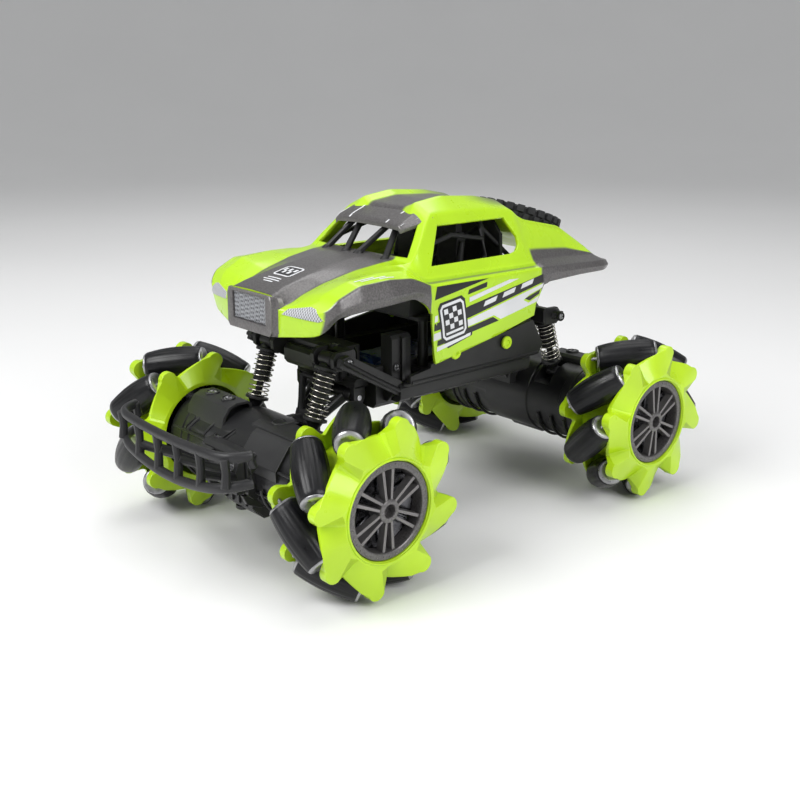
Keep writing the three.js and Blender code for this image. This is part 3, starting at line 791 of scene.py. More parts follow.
def blurred(grid, sigma, axis):
    """A Gaussian blur of grid points along one axis that leaves both ends where they are."""
    reach = int(math.ceil(sigma * 3))
    weights = np.exp(-0.5 * (np.arange(-reach, reach + 1) / sigma) ** 2)
    weights /= weights.sum()
    moved = np.moveaxis(grid, axis, 0)
    first, last = moved[:1], moved[-1:]
    before = 2 * first - moved[1:reach + 1][::-1]
    after = 2 * last - moved[-reach - 1:-1][::-1]
    padded = np.concatenate([before, moved, after])
    result = sum(w * padded[i:i + len(moved)] for i, w in enumerate(weights))
    return np.moveaxis(result, 0, axis)


def body_grid():
    """Rows along y of whole cross-sections, and each column's place between the key points."""
    ys = np.array([row[0] for row in STATIONS], float)
    keys = np.array([row[1:] for row in STATIONS], float).reshape(len(ys), CENTRE + 1, 2)
    rows = np.arange(ys[0], ys[-1] + ROW_STEP / 2, ROW_STEP)
    half = np.empty((len(rows), CENTRE + 1, 2))
    for key in range(CENTRE + 1):
        for axis in range(2):
            half[:, key, axis] = np.interp(rows, ys, keys[:, key, axis])
    steps = [segment + i / count for segment, count in enumerate(SAMPLES) for i in range(count)]
    steps = np.array(steps + [CENTRE])
    lower = np.minimum(steps.astype(int), CENTRE - 1)
    share = (steps - lower)[None, :, None]
    right = half[:, lower] * (1 - share) + half[:, lower + 1] * share
    in_door = smoothstep(DOOR[0] - 6, DOOR[0] - 2, rows) * (1 - smoothstep(DOOR[1], DOOR[1] + 4, rows))
    dip = smoothstep(BELT + 0.02, BELT + 0.2, steps) * (1 - smoothstep(BELT + 0.62, BELT + 0.8, steps))
    right[:, :, 0] -= in_door[:, None] * dip * GROOVE_DEPTH * 0.7
    right[:, :, 1] -= in_door[:, None] * dip * GROOVE_DEPTH * 0.7
    mirrored = right[:, :-1].copy()
    mirrored[:, :, 0] *= -1
    section = np.concatenate([mirrored, right[:, ::-1]], axis=1)
    column = np.concatenate([steps[:-1], steps[::-1]])
    grid = np.empty((len(rows), len(column), 3))
    grid[:, :, 0], grid[:, :, 2] = section[:, :, 0], section[:, :, 1]
    grid[:, :, 1] = rows[:, None]
    grid = blurred(blurred(grid, 1.1, 1), 1.8, 0)
    return grid, column


def paint_and_groove_shade_mask(y, column, x):
    """How much gunmetal covers each point of the body: paint on the flares, strip, roof and wings, and in
    the belt groove partly paint and partly painted shade of the groove.
    """
    flare = (1 - smoothstep(BELT + 0.02, BELT + 0.14, column)) * smoothstep(-97.4, -96.4, y)
    flare *= 1 - smoothstep(-34.4, -33.4, y)
    strip = smoothstep(STRIP_FOOT - 0.12, STRIP_FOOT, column) * (1 - smoothstep(-39, -34, y))
    roof = (1 - smoothstep(12, 15.5, np.abs(x))) * smoothstep(-34, -30, y)
    roof *= smoothstep(ROOF_EDGE, ROOF_EDGE + 0.5, column)
    roof_rear = (1 - smoothstep(20, 31, np.abs(x))) * smoothstep(6, 44, y)
    roof_rear *= smoothstep(ROOF_EDGE, ROOF_EDGE + 0.4, column) * 0.75
    roof_rear *= 1 - smoothstep(46, 48, y)
    # Belt groove over the doors: gunmetal at 0.6 strength, partly paint overspray and partly painted shade
    # of the groove.
    groove = smoothstep(BELT + 0.3, BELT + 0.42, column) * (1 - smoothstep(BELT + 0.52, BELT + 0.66, column))
    groove *= smoothstep(-36, -31, y) * 0.6
    wing = (1 - smoothstep(SHOULDER + 0.2, SHOULDER + 0.3, column)) * smoothstep(46.6, 48.2, y)
    tail = smoothstep(101.5, 104, y)
    return np.maximum.reduce([flare, strip, roof, roof_rear, groove, wing, tail])


def inside(points, outline):
    """Which 2-D points lie inside an outline."""
    hit = np.zeros(len(points), bool)
    for (ax, ay), (bx, by) in zip(outline, outline[1:] + outline[:1]):
        crosses = (ay > points[:, 1]) != (by > points[:, 1])
        with np.errstate(divide="ignore", invalid="ignore"):
            edge = ax + (points[:, 1] - ay) * (bx - ax) / (by - ay)
        hit ^= crosses & (points[:, 0] < edge)
    return hit


def cut_opening(work, outline, axes, keep_low, keep_high):
    """Cuts an outline through a work mesh's faces between two corners. axes are the outline's axes."""
    first, second = axes
    margin = 3

    def near(face):
        centre = face.calc_center_median()
        return all(keep_low[i] < centre[i] < keep_high[i] for i in range(3))

    low = [min(p[i] for p in outline) - margin for i in range(2)]
    high = [max(p[i] for p in outline) + margin for i in range(2)]
    for a, b in zip(outline, outline[1:] + outline[:1]):
        faces = [f for f in work.faces if near(f) and low[0] < f.calc_center_median()[first] < high[0]
                 and low[1] < f.calc_center_median()[second] < high[1]]
        parts = {v for f in faces for v in f.verts} | {e for f in faces for e in f.edges} | set(faces)
        normal, point = Vector((0, 0, 0)), Vector((0, 0, 0))
        normal[first], normal[second] = b[1] - a[1], a[0] - b[0]
        point[first], point[second] = a
        bmesh.ops.bisect_plane(work, geom=list(parts), plane_co=point, plane_no=normal, dist=0.01)
    faces = [f for f in work.faces if near(f)]
    centres = np.array([f.calc_center_median() for f in faces])[:, [first, second]]
    gone = [f for f, hit in zip(faces, inside(centres, outline)) if hit]
    bmesh.ops.delete(work, geom=gone, context="FACES")


SIDE_WINDOW = [(-26.6, 139.9), (30.8, 139.6), (36.2, 140.7), (39.4, 143.4), (40.2, 147.2), (34.3, 157.4),
               (-14.7, 157.8)]
WINDSCREEN = [(-35.8, 144.2), (35.8, 144.2), (28.6, 160.4), (-28.6, 160.4)]
LAMP = [(23.4, 123.7), (26.2, 126.6), (39, 129), (42.2, 128.4), (46.8, 123.6), (44.4, 122.6)]
FAR = 200


def body_mesh():
    """The painted skin with its side windows, windscreen and the space below the doors cut out."""
    grid, column = body_grid()
    rows, count = grid.shape[:2]
    work = bmesh.new()
    paint = work.verts.layers.float.new("paint")
    flat = grid.reshape(-1, 3)
    mask = paint_and_groove_shade_mask(flat[:, 1], np.tile(column, rows), flat[:, 0])
    handles = []
    for point, value in zip(flat.tolist(), mask.tolist()):
        vertex = work.verts.new(point)
        vertex[paint] = value
        handles.append(vertex)
    for row in range(rows - 1):
        for i in range(count - 1):
            a = row * count + i
            work.faces.new((handles[a], handles[a + 1], handles[a + 1 + count], handles[a + count]))
    for side in (1, -1):
        bounds = ((0, -45, 138), (FAR, 45, 160)) if side > 0 else ((-FAR, -45, 138), (0, 45, 160))
        cut_opening(work, SIDE_WINDOW, (1, 2), *bounds)
        below = DOOR_OUTLINE + [(60, 60), (-40, 60)]
        bounds = ((30, -40, 60), (FAR, 60, 123)) if side > 0 else ((-FAR, -40, 60), (-30, 60, 123))
        cut_opening(work, below, (1, 2), *bounds)
    cut_opening(work, WINDSCREEN, (0, 2), (-FAR, -60, 143), (FAR, -8, 162))
    bmesh.ops.recalc_face_normals(work, faces=work.faces)
    top = max(work.faces, key=lambda f: f.calc_center_median().z)
    if top.normal.z < 0:
        bmesh.ops.reverse_faces(work, faces=work.faces)
    for vertex in work.verts:
        vertex.co = place(vertex.co)
    mesh = bpy.data.meshes.new("body")
    work.to_mesh(mesh)
    work.free()
    shade_smooth(mesh)
    return mesh


def add_body():
    mesh = body_mesh()
    mesh.materials.append(MATERIALS["body"])
    mesh.materials.append(MATERIALS["rim_green"])
    body = show("body_skin", mesh, "body", "chassis", ["body_shell"])
    skin = body.modifiers.new("skin", "SOLIDIFY")
    skin.thickness = SKIN * MM
    skin.offset = -1
    skin.material_offset = 1
    skin.material_offset_rim = 1
    normals = body.modifiers.new("normals", "WEIGHTED_NORMAL")
    normals.keep_sharp = True
    return body


BODY = add_body()


def surface(piece):
    """A piece's outer surface in car millimetres, for laying prints and lamps on it."""
    vertices = [v.co / MM - Vector((0, SHIFT, 0)) for v in piece.data.vertices]
    return BVHTree.FromPolygons(vertices, [tuple(p.vertices) for p in piece.data.polygons])


BODY_SURFACE = surface(BODY)


def laid(outline, look, lift, cell=2.5, depth=0.0):
    """An outline laid on the body's skin. look is the way it is thrown on: "x", "-x", "y" or "-z"."""
    order = {"x": (1, 2, 0, -1), "-x": (1, 2, 0, 1), "y": (0, 2, 1, 1), "-z": (0, 1, 2, -1)}
    first, second, third, way = order[look]
    work = bmesh.new()
    corners = []
    for a, b in outline:
        point = Vector((0, 0, 0))
        point[first], point[second] = a, b
        corners.append(work.verts.new(point))
    work.faces.new(corners)
    for axis, index in ((first, 0), (second, 1)):
        low, high = min(p[index] for p in outline), max(p[index] for p in outline)
        steps = int((high - low) / cell)
        for step in range(1, steps + 1):
            point, normal = Vector((0, 0, 0)), Vector((0, 0, 0))
            point[axis] = low + (high - low) * step / (steps + 1)
            normal[axis] = 1
            parts = work.verts[:] + work.edges[:] + work.faces[:]
            bmesh.ops.bisect_plane(work, geom=parts, plane_co=point, plane_no=normal, dist=0.001)
    direction = Vector((0, 0, 0))
    direction[third] = way
    missed = []
    for vertex in work.verts:
        start = vertex.co.copy()
        start[third] = -way * FAR
        hit = BODY_SURFACE.ray_cast(start, direction)[0]
        if hit:
            vertex.co = hit - direction * lift
        else:
            missed.append(vertex)
    bmesh.ops.delete(work, geom=missed, context="VERTS")
    soup = Soup()
    work.verts.index_update()
    soup.vertices = [tuple(v.co) for v in work.verts]
    soup.faces = [tuple(v.index for v in face.verts) for face in work.faces]
    if depth:
        back = Soup()
        count = len(soup.vertices)
        back.vertices = soup.vertices + [tuple(Vector(v) + direction * depth) for v in soup.vertices]
        back.faces = soup.faces + [tuple(count + i for i in reversed(face)) for face in soup.faces]
        for edge in work.edges:
            if edge.is_boundary:
                a, b = edge.verts[0].index, edge.verts[1].index
                back.faces.append((a, b, count + b, count + a))
        soup = back
    work.free()
    return soup


# ---- prints: plain stripes, chequers and blank plates ----
DOOR_BLACK = [
    [(-31.4, 124.6), (-29.6, 131.1), (7, 130.9)],
    [(-31.4, 108.9), (-31.4, 112.6), (-7, 118.6), (48.6, 127.8), (49, 123.6), (-7, 112.6)],
    [(-31.4, 100.6), (-31.4, 103.4), (10, 110.2), (14.6, 107.6)],
    [(-21.8, 98.6), (-22.6, 102.8), (-4.6, 107), (-4.8, 103)],
    [(34, 116.4), (46.4, 119.8), (45.6, 117.6), (38, 114.9)],
    [(-8.6, 124.4), (-7.6, 126.8), (5.6, 129.2), (5.2, 126.6)],
]
DOOR_WHITE = [
    [(-31.4, 113.4), (-31.4, 116.6), (-29.4, 117), (-29.4, 113.9)],
    [(-31.4, 103.9), (-31.4, 107.6), (-7, 111.8), (49, 122.8), (48.2, 120.6), (47, 120.4), (38, 118.2),
     (33, 115.8), (37, 113.8), (45.4, 116.6), (44.2, 113.6), (16, 108.2), (10.6, 111)],
    [(-31.4, 97.6), (-31.4, 100), (-6, 104.6), (-6, 103)],
    [(-7.4, 120.4), (-7.4, 122.8), (22, 128.2), (29.4, 127.8)],
]
PLATE = [(-28.4, 121.2), (-12, 123.6), (-8.8, 105.2), (-25, 102.6)]


def within(corners, u, v):
    """A point of a four-cornered plate: u and v run from 0 to 1 along its sides."""
    top = Vector(corners[0]).lerp(Vector(corners[1]), u)
    bottom = Vector(corners[3]).lerp(Vector(corners[2]), u)
    return tuple(top.lerp(bottom, v))


def rounded_plate(corners, inset, corner=0.12):
    """A four-cornered plate with its edges moved in and its corners cut, both as shares of a side."""
    low, high = inset, 1 - inset
    points = []
    for u, v, du, dv in ((low, low, 0, 1), (low, low, 1, 0), (high, low, -1, 0), (high, low, 0, 1),
                         (high, high, 0, -1), (high, high, -1, 0), (low, high, 1, 0), (low, high, 0, -1)):
        points.append(within(corners, u + du * corner, v + dv * corner))
    return points


def patch(corners, u, v):
    """A part of a four-cornered plate between two u and two v values."""
    return [within(corners, *uv) for uv in ((u[0], v[0]), (u[1], v[0]), (u[1], v[1]), (u[0], v[1]))]


def add_prints():
    stripes, panels = Soup(), Soup()
    for look in ("x", "-x"):
        for outline in DOOR_BLACK:
            stripes.join(laid(outline, look, 0.1))
        for outline in DOOR_WHITE:
            panels.join(laid(outline, look, 0.12))
        stripes.join(laid(rounded_plate(PLATE, -0.07), look, 0.16))
        panels.join(laid(rounded_plate(PLATE, 0.0), look, 0.2))
        stripes.join(laid(rounded_plate(PLATE, 0.08, 0.06), look, 0.24))
        for row in range(4):
            for column in range(4):
                if (row + column) % 2 == 0:
                    u, v = 0.15 + column * 0.18, 0.14 + row * 0.15
                    panels.join(laid(patch(PLATE, (u, u + 0.16), (v, v + 0.14)), look, 0.28))
        panels.join(laid(patch(PLATE, (0.14, 0.86), (0.79, 0.86)), look, 0.28))
        for dash in range(3):
            low = 4 + dash * 14
            corners = ((low, 118.6), (low + 9, 118.6), (low + 7.6, 116.2), (low - 1.4, 116.2))
            panels.join(laid([(y, z + y * 0.19) for y, z in corners], look, 0.16))
    hood_plate = [(-7, -76.5), (7, -76.5), (7, -87.5), (-7, -87.5)]
    panels.join(laid(rounded_plate(hood_plate, 0), "-z", 0.1, 4))
    stripes.join(laid(rounded_plate(hood_plate, 0.09, 0.06), "-z", 0.14, 4))
    for column in range(5):
        for row in range(2):
            if (row + column) % 2 == 0:
                u, v = 0.15 + column * 0.14, 0.25 + row * 0.25
                panels.join(laid(patch(hood_plate, (u, u + 0.14), (v, v + 0.25)), "-z", 0.18, 4))
    for line, half in ((-90.2, 5.4), (-92.2, 6.4), (-94.2, 3.6)):
        stripe = [(-half, line), (half, line), (half, line - 0.8), (-half, line - 0.8)]
        panels.join(laid(stripe, "-z", 0.12, 4))
    for side in (1, -1):
        for index, (start, length) in enumerate(((-79, 12), (-76, 15), (-66, 9))):
            x = side * (46.4 + index * 1.5)
            stop, far = start + length, x + side * 0.8
            stripe = [(x, start), (x, stop), (far, stop), (far, start)]
            panels.join(laid(stripe, "-z", 0.12, 4))
    for name, soup, material in (("black_prints", stripes, "print_black"),
                                 ("white_prints", panels, "white")):
        piece = add_piece(name, soup, material, "chassis", 0, ["body_shell"])
        piece.modifiers.clear()


add_prints()


# ---- nose, lamps, visor and windscreen bars ----
def nose_housing():
    """Grille surround: a framed opening on an eight-sided snout."""
    soup = Soup()
    front = [(-16.6, 112), (16.6, 112), (18.2, 114), (18, 128.6), (16.6, 131.6), (-16.6, 131.6),
             (-18, 128.6), (-18.2, 114)]
    rings = []
    for level, grow, lift in ((-101, 4.0, -1.0), (-103.6, 3.4, -0.5), (-105.6, 0.4, 0), (-106.4, -0.3, 0)):
        rings.append([(x + math.copysign(grow, x), level, z + (lift if z > 125 else 0)) for x, z in front])
    mouth = [(-14, 116.8), (14, 116.8), (14.1, 118), (14.2, 129), (14.2, 130), (-14.2, 130), (-14.2, 129),
             (-14.1, 118)]
    for level, shrink in ((-106.4, 0), (-106.2, 0.3), (-104.4, 0.5), (-103.6, 0.5)):
        rings.append([(x - math.copysign(shrink, x), level, z) for x, z in mouth])
    rings.append([(x * 0.98, -103.6, z) for x, z in mouth])
    vertices = [v for ring in rings[:-1] for v in ring]
    soup.add((vertices, ring_faces(len(rings) - 1, 8)))
    return soup


def grille_ribs():
    """The grille's back plate with fine upright and level ribs."""
    soup = Soup()
    soup.add(block((-13.8, 13.8), (-104.2, -103.8), (116.9, 129.9)))
    for rib in range(22):
        x = -13.2 + 26.4 * rib / 21
        rib_outline = [(x - 0.38, -104), (x - 0.2, -105.3), (x + 0.2, -105.3), (x + 0.38, -104)]
        soup.add(prism(rib_outline, 117, 129.8, "z"))
    for row in range(12):
        z = 117.6 + row * 1.05
        soup.add(block((-13.7, 13.7), (-104.9, -104.1), (z, z + 0.3)))
    return soup


def add_nose():
    add_piece("nose_housing", nose_housing(), "gunmetal", "chassis", 0.4, ["body_shell"])
    add_piece("grille_ribs", grille_ribs(), "lamp", "chassis", 0, ["body_shell"])
    lens, frame_soup = Soup(), Soup()
    for side in (1, -1):
        outline = [(side * x, z) for x, z in LAMP]
        middle = Vector((sum(p[0] for p in outline) / 6, sum(p[1] for p in outline) / 6))
        grown = [tuple(middle + (Vector(p) - middle) * 1.07) for p in outline]
        frame_soup.join(laid(grown, "y", 0.25, 3, 0.5))
        lens.join(laid(outline, "y", 0.5, 3, 0.5))
    add_piece("lamp_rims", frame_soup, "rim_green", "chassis", 0.12, ["body_shell"])
    add_piece("lamp_lenses", lens, "lamp", "chassis", 0.12, ["body_shell"])


def visor():
    """Roof visor: a thick lip with chamfered corners."""
    top = [
        (-32.2, [(26.2, 156.6), (24.6, 158.2), (12, 158.9), (0, 159)]),
        (-29.5, [(27.6, 157.6), (25, 159.9), (12, 160.6), (0, 160.7)]),
        (-22, [(30.6, 160), (24, 163), (12, 163), (0, 162.9)]),
        (-15.6, [(32.6, 162), (22, 166), (12, 165.6), (0, 165.4)]),
    ]
    rings = []
    for y, half in top:
        right = half[::-1]
        upper = [(-x, z) for x, z in half[:-1]] + right
        lower = [(x * 0.98, z - 2.6) for x, z in reversed(upper)]
        rings.append([(x, y, z) for x, z in upper + lower])
    vertices = [v for ring in rings for v in ring]
    return Soup().add((vertices, ring_faces(len(rings), len(rings[0]))))


def add_cabin_front():
    slab = add_piece("visor", visor(), "gunmetal", "chassis", 0.5, ["body_shell"],
                     angle=24)
    top = surface(slab)
    lines = Soup()
    steps = 8
    for side in (1, -1):
        for (x0, y0), (x1, y1), width in (((14.6, -31.9), (16.2, -16.4), 1.1),
                                          ((25.2, -31.4), (28.4, -17.6), 0.7)):
            points = []
            for step in range(steps + 1):
                x = side * (x0 + (x1 - x0) * step / steps)
                y = y0 + (y1 - y0) * step / steps
                hit = top.ray_cast(Vector((x, y, FAR)), Vector((0, 0, -1)))[0]
                points.append(hit + Vector((0, 0, 0.06)))
            vertices = [p + Vector((dx * width / 2, 0, 0)) for p in points for dx in (-1, 1)]
            faces = [(2 * i, 2 * i + 1, 2 * i + 3, 2 * i + 2) for i in range(steps)]
            lines.add((vertices, faces))
    piece = add_piece("visor_lines", lines, "white", "chassis", 0, ["body_shell"])
    piece.modifiers.clear()
    bars = Soup()
    for foot, head in (((23.6, -40.2, 142.4), (16.6, -25.6, 157.8)),
                       ((4.8, -42.2, 143.6), (11.4, -25.6, 158))):
        foot, head = Vector(foot), Vector(head)
        bars.add(tube([foot, foot.lerp(head, 0.5), head], 1.75, 6, (0, 1, 0)), mirror=True)
        boot = [foot - Vector((0, 0.6, 1.4)), foot + (head - foot) * 0.06]
        bars.add(tube(boot, [2.9, 2.1], 12), mirror=True)
    bars.add(tube([(-24, -24.6, 157), (24, -24.6, 157)], 1.5, 8))
    add_piece("windscreen_bars", bars, "black", "chassis", 0.3, ["body_shell"])


add_nose()
add_cabin_front()


# ---- cockpit ----
def seat(x):
    """A bucket seat with bolsters and a head rest."""
    soup = Soup()
    cushion = [(-8, 119), (-7, 122.5), (8, 120.5), (10, 118), (9, 115), (-7, 115)]
    soup.add(prism(cushion, x - 7, x + 7))
    back = [(8, 117), (9.6, 117), (16, 147), (14.6, 150.4), (11.4, 150.6), (9.6, 147)]
    soup.add(prism(back, x - 6.5, x + 6.5))
    for side in (-1, 1):
        edge = x + side * 7.6
        line = [(edge, y, z) for y, z in ((-7, 121), (2, 122.5), (8.5, 124), (10.2, 134), (12, 146))]
        soup.add(tube(line, [1.6, 2.0, 2.4, 2.2, 1.4], 10))
    soup.add(prism([(10.6, 150), (11, 156.4), (14.2, 156.8), (15.4, 150.4)], x - 4.4, x + 4.4))
    return soup


def add_cockpit():
    soup = Soup()
    floor = [(-42, -35), (42, -35), (42, 41), (-42, 41)]
    soup.add(prism(floor, 113, 115, "z"))
    bulkhead = [(-32, 115), (-30, 148), (-24, 155), (24, 155), (30, 148), (32, 115)]
    soup.add(prism(bulkhead, 35, 37, "y"))
    soup.add(prism([(-37, 115), (-35, 140.4), (-31, 140.8), (-26, 135), (-27, 128), (-29, 115)], -38, 38))
    for x in (-36, 36):
        soup.add(block((x - 1.2, x + 1.2), (-33, 38), (114, 131)))
    for x in (-17, 17):
        soup.join(seat(x))
    for level in range(5):
        soup.add(block((-6, 6), (-30 + level * 1.2, -25.6), (116 + level * 4, 118.4 + level * 4)))
    soup.add(prism([(-24, 115), (-22, 121), (20, 121), (24, 115)], -5, 5))
    for y in (-4, 6):
        soup.add(turned([(1.4, 0), (1.2, 6), (2.2, 7), (2.2, 10), (0.1, 11)], (0, y, 120), (0, -0.2, 1), 16))
    steering = Vector((17, -18, 134))
    slope = Vector((0, 0.85, 0.5)).normalized()
    axes = axes_round(slope)
    ring = [steering + around(axes, 2 * math.pi * i / 36) * 6.4 for i in range(36)]
    soup.add(tube(ring, 0.9, 10, slope, loop=True))
    for spoke in range(3):
        end = steering + around(axes, 2 * math.pi * spoke / 3 + 0.5) * 6.2
        soup.add(tube([steering, end], 0.7, 8))
    soup.add(tube([steering, steering - slope * 11], 1.1, 10))
    hoop_points = [(31, 22, 115), (30.6, 22.5, 138), (27.5, 23.5, 152), (25, 24, 155.4)]
    arc = hoop_points + [(-x, y, z) for x, y, z in reversed(hoop_points)]
    soup.add(tube(arc, 1.7, 12))
    soup.add(tube([(28.6, 23, 147), (33, -4, 152), (32.6, -24, 147), (36, -33, 138)], 1.3, 10), mirror=True)
    soup.add(tube([(26, 24, 153.5), (-30, 22.5, 118)], 1.3, 10))
    soup.add(tube([(25, 24.5, 153), (30, 42, 136)], 1.3, 10), mirror=True)
    add_piece("cockpit_insert", soup, "cockpit", "chassis", 0.35, ["cockpit"])


add_cockpit()


# ---- spare tyre ----
def add_spare_tyre():
    tyre_centre, lean = Vector((0, 77, 148)), math.radians(20)
    axis = Vector((0, math.sin(lean), math.cos(lean)))
    soup = Soup()
    body = [(14.6, -6.6), (19, -7.3), (22.6, -6.9), (24.6, -5.6), (25.2, -3), (25.4, 0), (25.2, 3),
            (24.6, 5.6), (22.6, 6.9), (19, 7.3), (14.6, 6.6), (13.4, 4.6), (13.4, -4.6)]
    soup.add(turned(body, tyre_centre, axis, 96, close_profile=True))
    for bead in (-7.25, 7.25):
        ring = [(17.2, bead * 0.96), (17.7, bead * 1.035), (18.2, bead * 0.96)]
        soup.add(turned(ring, tyre_centre, axis, 72, close_profile=True))
    first, second = axes_round(axis)
    lugs = 26
    lug_rows = ((-7.0, -3.1, -0.5, 26.6), (-2.5, 2.5, 0.0, 27.2), (3.1, 7.0, 0.5, 26.6))
    for lug in range(lugs):
        for row, (low, high, twist, reach) in enumerate(lug_rows):
            angle = 2 * math.pi * (lug + twist) / lugs
            outward = around((first, second), angle)
            along = second * math.cos(angle) - first * math.sin(angle)
            half = 1.95 if row != 1 else 1.55
            vertices = []
            for radius, size in ((24.2, 1.12), (reach, 1.0)):
                for a, b in ((-half, low), (half, low), (half, high), (-half, high)):
                    skew = 0.9 if row == 1 and b > 0 else 0.0
                    vertices.append(tyre_centre + outward * radius + along * (a * size + skew) + axis * b)
            soup.add((vertices, ring_faces(2, 4)))
    add_piece("spare_tyre_rubber", soup, "tyre", "chassis", 0.25, ["spare_tyre"])
    wheel = Soup()
    wheel.add(turned([(14, -5), (14, 4.4), (13.2, 5.4), (12, 5.2), (11.4, 3.2), (5.6, 1.6), (5.2, 4.2),
                      (2.4, 4.6), (2.2, 3), (0.02, 3), (0.02, -4), (11.4, -4)], tyre_centre, axis, 64))
    for spoke in range(5):
        out = around((first, second), 2 * math.pi * spoke / 5)
        ends = [tyre_centre + out * 4 + axis * 3.4, tyre_centre + out * 12.6 + axis * 4.2]
        wheel.add(tube(ends, [1.9, 2.5], 8, axis))
    add_piece("spare_tyre_rim", wheel, "black", "chassis", 0.3, ["spare_tyre"])


add_spare_tyre()


# ---- axles ----
# Built for the front, in car millimetres; the rear one is turned half round.
DRUM_Y, DRUM_Z = -AXLE_Y, HUB_HEIGHT
DRUM_END = 63
COLLAR_AT = (0, -90, 58)
DRUM_SLOTS = (((-29.1, 65), (-23.4, 42)), ((-15.6, 77), (-5.2, 44)), ((-44, 66), (-37, 42)))


def drum_point(x, degrees, radius):
    """A point over the barrel; 0 degrees is straight up and 90 is straight ahead."""
    angle = math.radians(degrees)
    return Vector((x, DRUM_Y - radius * math.sin(angle), DRUM_Z + radius * math.cos(angle)))


def slot_bar(low, high, radius, thickness, sides, shift=0.0):
    """A bar laid along a slot: low and high are its ends as (x, degrees)."""
    middle = drum_point((low[0] + high[0]) / 2 + shift * 0.6, (low[1] + high[1]) / 2, radius)
    start, end = drum_point(low[0] + shift, low[1], radius), drum_point(*high, radius)
    return tube([start, middle, end], thickness, sides)


def shock_pockets():
    """Cutters for the open pockets in the barrel that hold the shocks' feet."""
    soup = Soup()
    soup.add(block((19.5, 30.5), (-95, -78), (56, 80)), mirror=True)
    return soup


def axle_barrel():
    """The long motor barrel with its stepped ends, shock pockets and slanted slots."""
    half = [(23, 16), (23, 16.6), (22.3, 17), (22.3, 41), (23, 41.6), (23, 46.6), (22.5, 47), (22.5, 47.8),
            (23, 48.2), (23, 57.8), (22.4, 58.6), (20.8, 59), (20.8, 61.8), (19.4, DRUM_END),
            (8.4, DRUM_END), (7.6, 62.2), (6.8, 62.2), (6.6, 67), (6.0, 67.6), (0.02, 67.6)]
    profile = [(r, -x) for r, x in reversed(half)] + half
    barrel = Soup().add(turned(profile, (0, DRUM_Y, DRUM_Z), (1, 0, 0), 72))
    cutter = shock_pockets()
    for low, high in DRUM_SLOTS:
        cutter.add(slot_bar(low, high, 23.6, 1.7, 10))
    return carved(barrel, cutter)


def carved(soup, cutter):
    """A soup's one closed body with the cutter's bodies taken out of it."""
    things = []
    for name, source in (("carved", soup), ("cutter", cutter)):
        thing = bpy.data.objects.new(name, new_mesh(name, source.vertices, source.faces, Vector))
        bpy.context.scene.collection.objects.link(thing)
        things.append(thing)
    cut = things[0].modifiers.new("cut", "BOOLEAN")
    cut.object = things[1]
    cut.solver = "EXACT"
    mesh = things[0].evaluated_get(bpy.context.evaluated_depsgraph_get()).to_mesh()
    result = Soup()
    result.vertices = [tuple(v.co) for v in mesh.vertices]
    result.faces = [tuple(p.vertices) for p in mesh.polygons]
    for thing in things:
        mesh = thing.data
        bpy.data.objects.remove(thing)
        bpy.data.meshes.remove(mesh)
    return result


def axle_castings():
    """Gear case, screw box, mounting block, skid and ribs that stand on the barrel."""
    soup = Soup()
    cover = [(-95.6, 56), (-95.6, 69.4), (-97.4, 71), (-105, 71.4), (-109.8, 69.6), (-113, 65), (-115, 56)]
    box = Soup().add(prism(cover, -50, -16.6))
    mouth = [(-97.2, 56), (-97.2, 68.6), (-98.4, 69.6), (-104.6, 69.9), (-108.6, 68.4), (-111.4, 64.4),
             (-113, 56)]
    soup.join(carved(box, Soup().add(prism(mouth, -23, -16))))
    plate = [(-88, 56), (-89.5, 64.5), (-92, 67), (-103.6, 67.2), (-108.2, 65.8), (-109.4, 62), (-104, 56)]
    soup.join(carved(Soup().add(prism(plate, 1.5, 41)), shock_pockets()))
    flat_case = [(-106, 60), (-109.4, 65.4), (-112.6, 63.9), (-120.6, 53.2), (-120.4, 48), (-108, 46)]
    soup.add(prism(flat_case, 8, 38.4))
    mount = [(-107, 35), (-106, 57), (-121.6, 56.4), (-124, 54.2), (-124, 37.4), (-121, 34.4)]
    soup.add(prism(mount, -20, 20))
    gusset = [(-108, 33), (-108, 36), (-125, 36), (-122.6, 31), (-114, 27)]
    for x in (-15.5, 15.5):
        soup.add(prism(gusset, x - 1.2, x + 1.2))
    skid = [(-94, 35), (-94, 21), (-96.2, 19), (-110, 19), (-116, 24.4), (-116, 35)]
    soup.add(prism(skid, -12, 12))
    rib = [(-95, 24), (-97, 20), (-109.6, 19.6), (-117.2, 26), (-117.2, 35), (-114, 35)]
    for x in (-12, -6, 0, 6, 12):
        soup.add(prism(rib, x - 0.8, x + 0.8))
    for x in (26, 36, 46):
        ring = [drum_point(x, degrees, 23.4) for degrees in range(100, 262, 6)]
        soup.add(tube(ring, 0.9, 8, (1, 0, 0)), mirror=True)
    for height in (-7, 8):
        ridge = [drum_point(x, 90 - height * 2.6, 22.9) for x in (-56, -50, 50, 56)]
        soup.add(tube(ridge, 0.8, 6))
    collar = [(5.8, -8), (5.8, 5.2), (6.6, 5.8), (6.6, 9.4), (6.0, 10), (5.8, 13.4), (5.4, 13.7),
              (3.3, 13.7), (3.1, 13.2), (3.1, 6), (0.02, 6)]
    soup.add(turned(collar, COLLAR_AT, (0, 1, 0), 36))
    for x in (-8.5, 8.5):
        soup.add(prism([(-84, 50), (-84, 58), (-90, 64), (-98, 66), (-98, 50)], x - 1.1, x + 1.1))
    return soup


def axle_screws():
    """Screw places on the castings: where and which way they face."""
    return [((-41.4, -103.4, 71.3), (0, -0.05, 1)), ((-26.6, -103.4, 71.3), (0, -0.05, 1)),
            ((12.6, -99.4, 67.0), (0, -0.1, 1)), ((35.6, -99.4, 67.0), (0, -0.1, 1)),
            ((-15.8, -115, 56.4), (0, 0, 1)), ((15.8, -115, 56.4), (0, 0, 1)),
            ((-8, -109, 19.2), (0, 0, -1)), ((8, -101, 19.2), (0, 0, -1))]


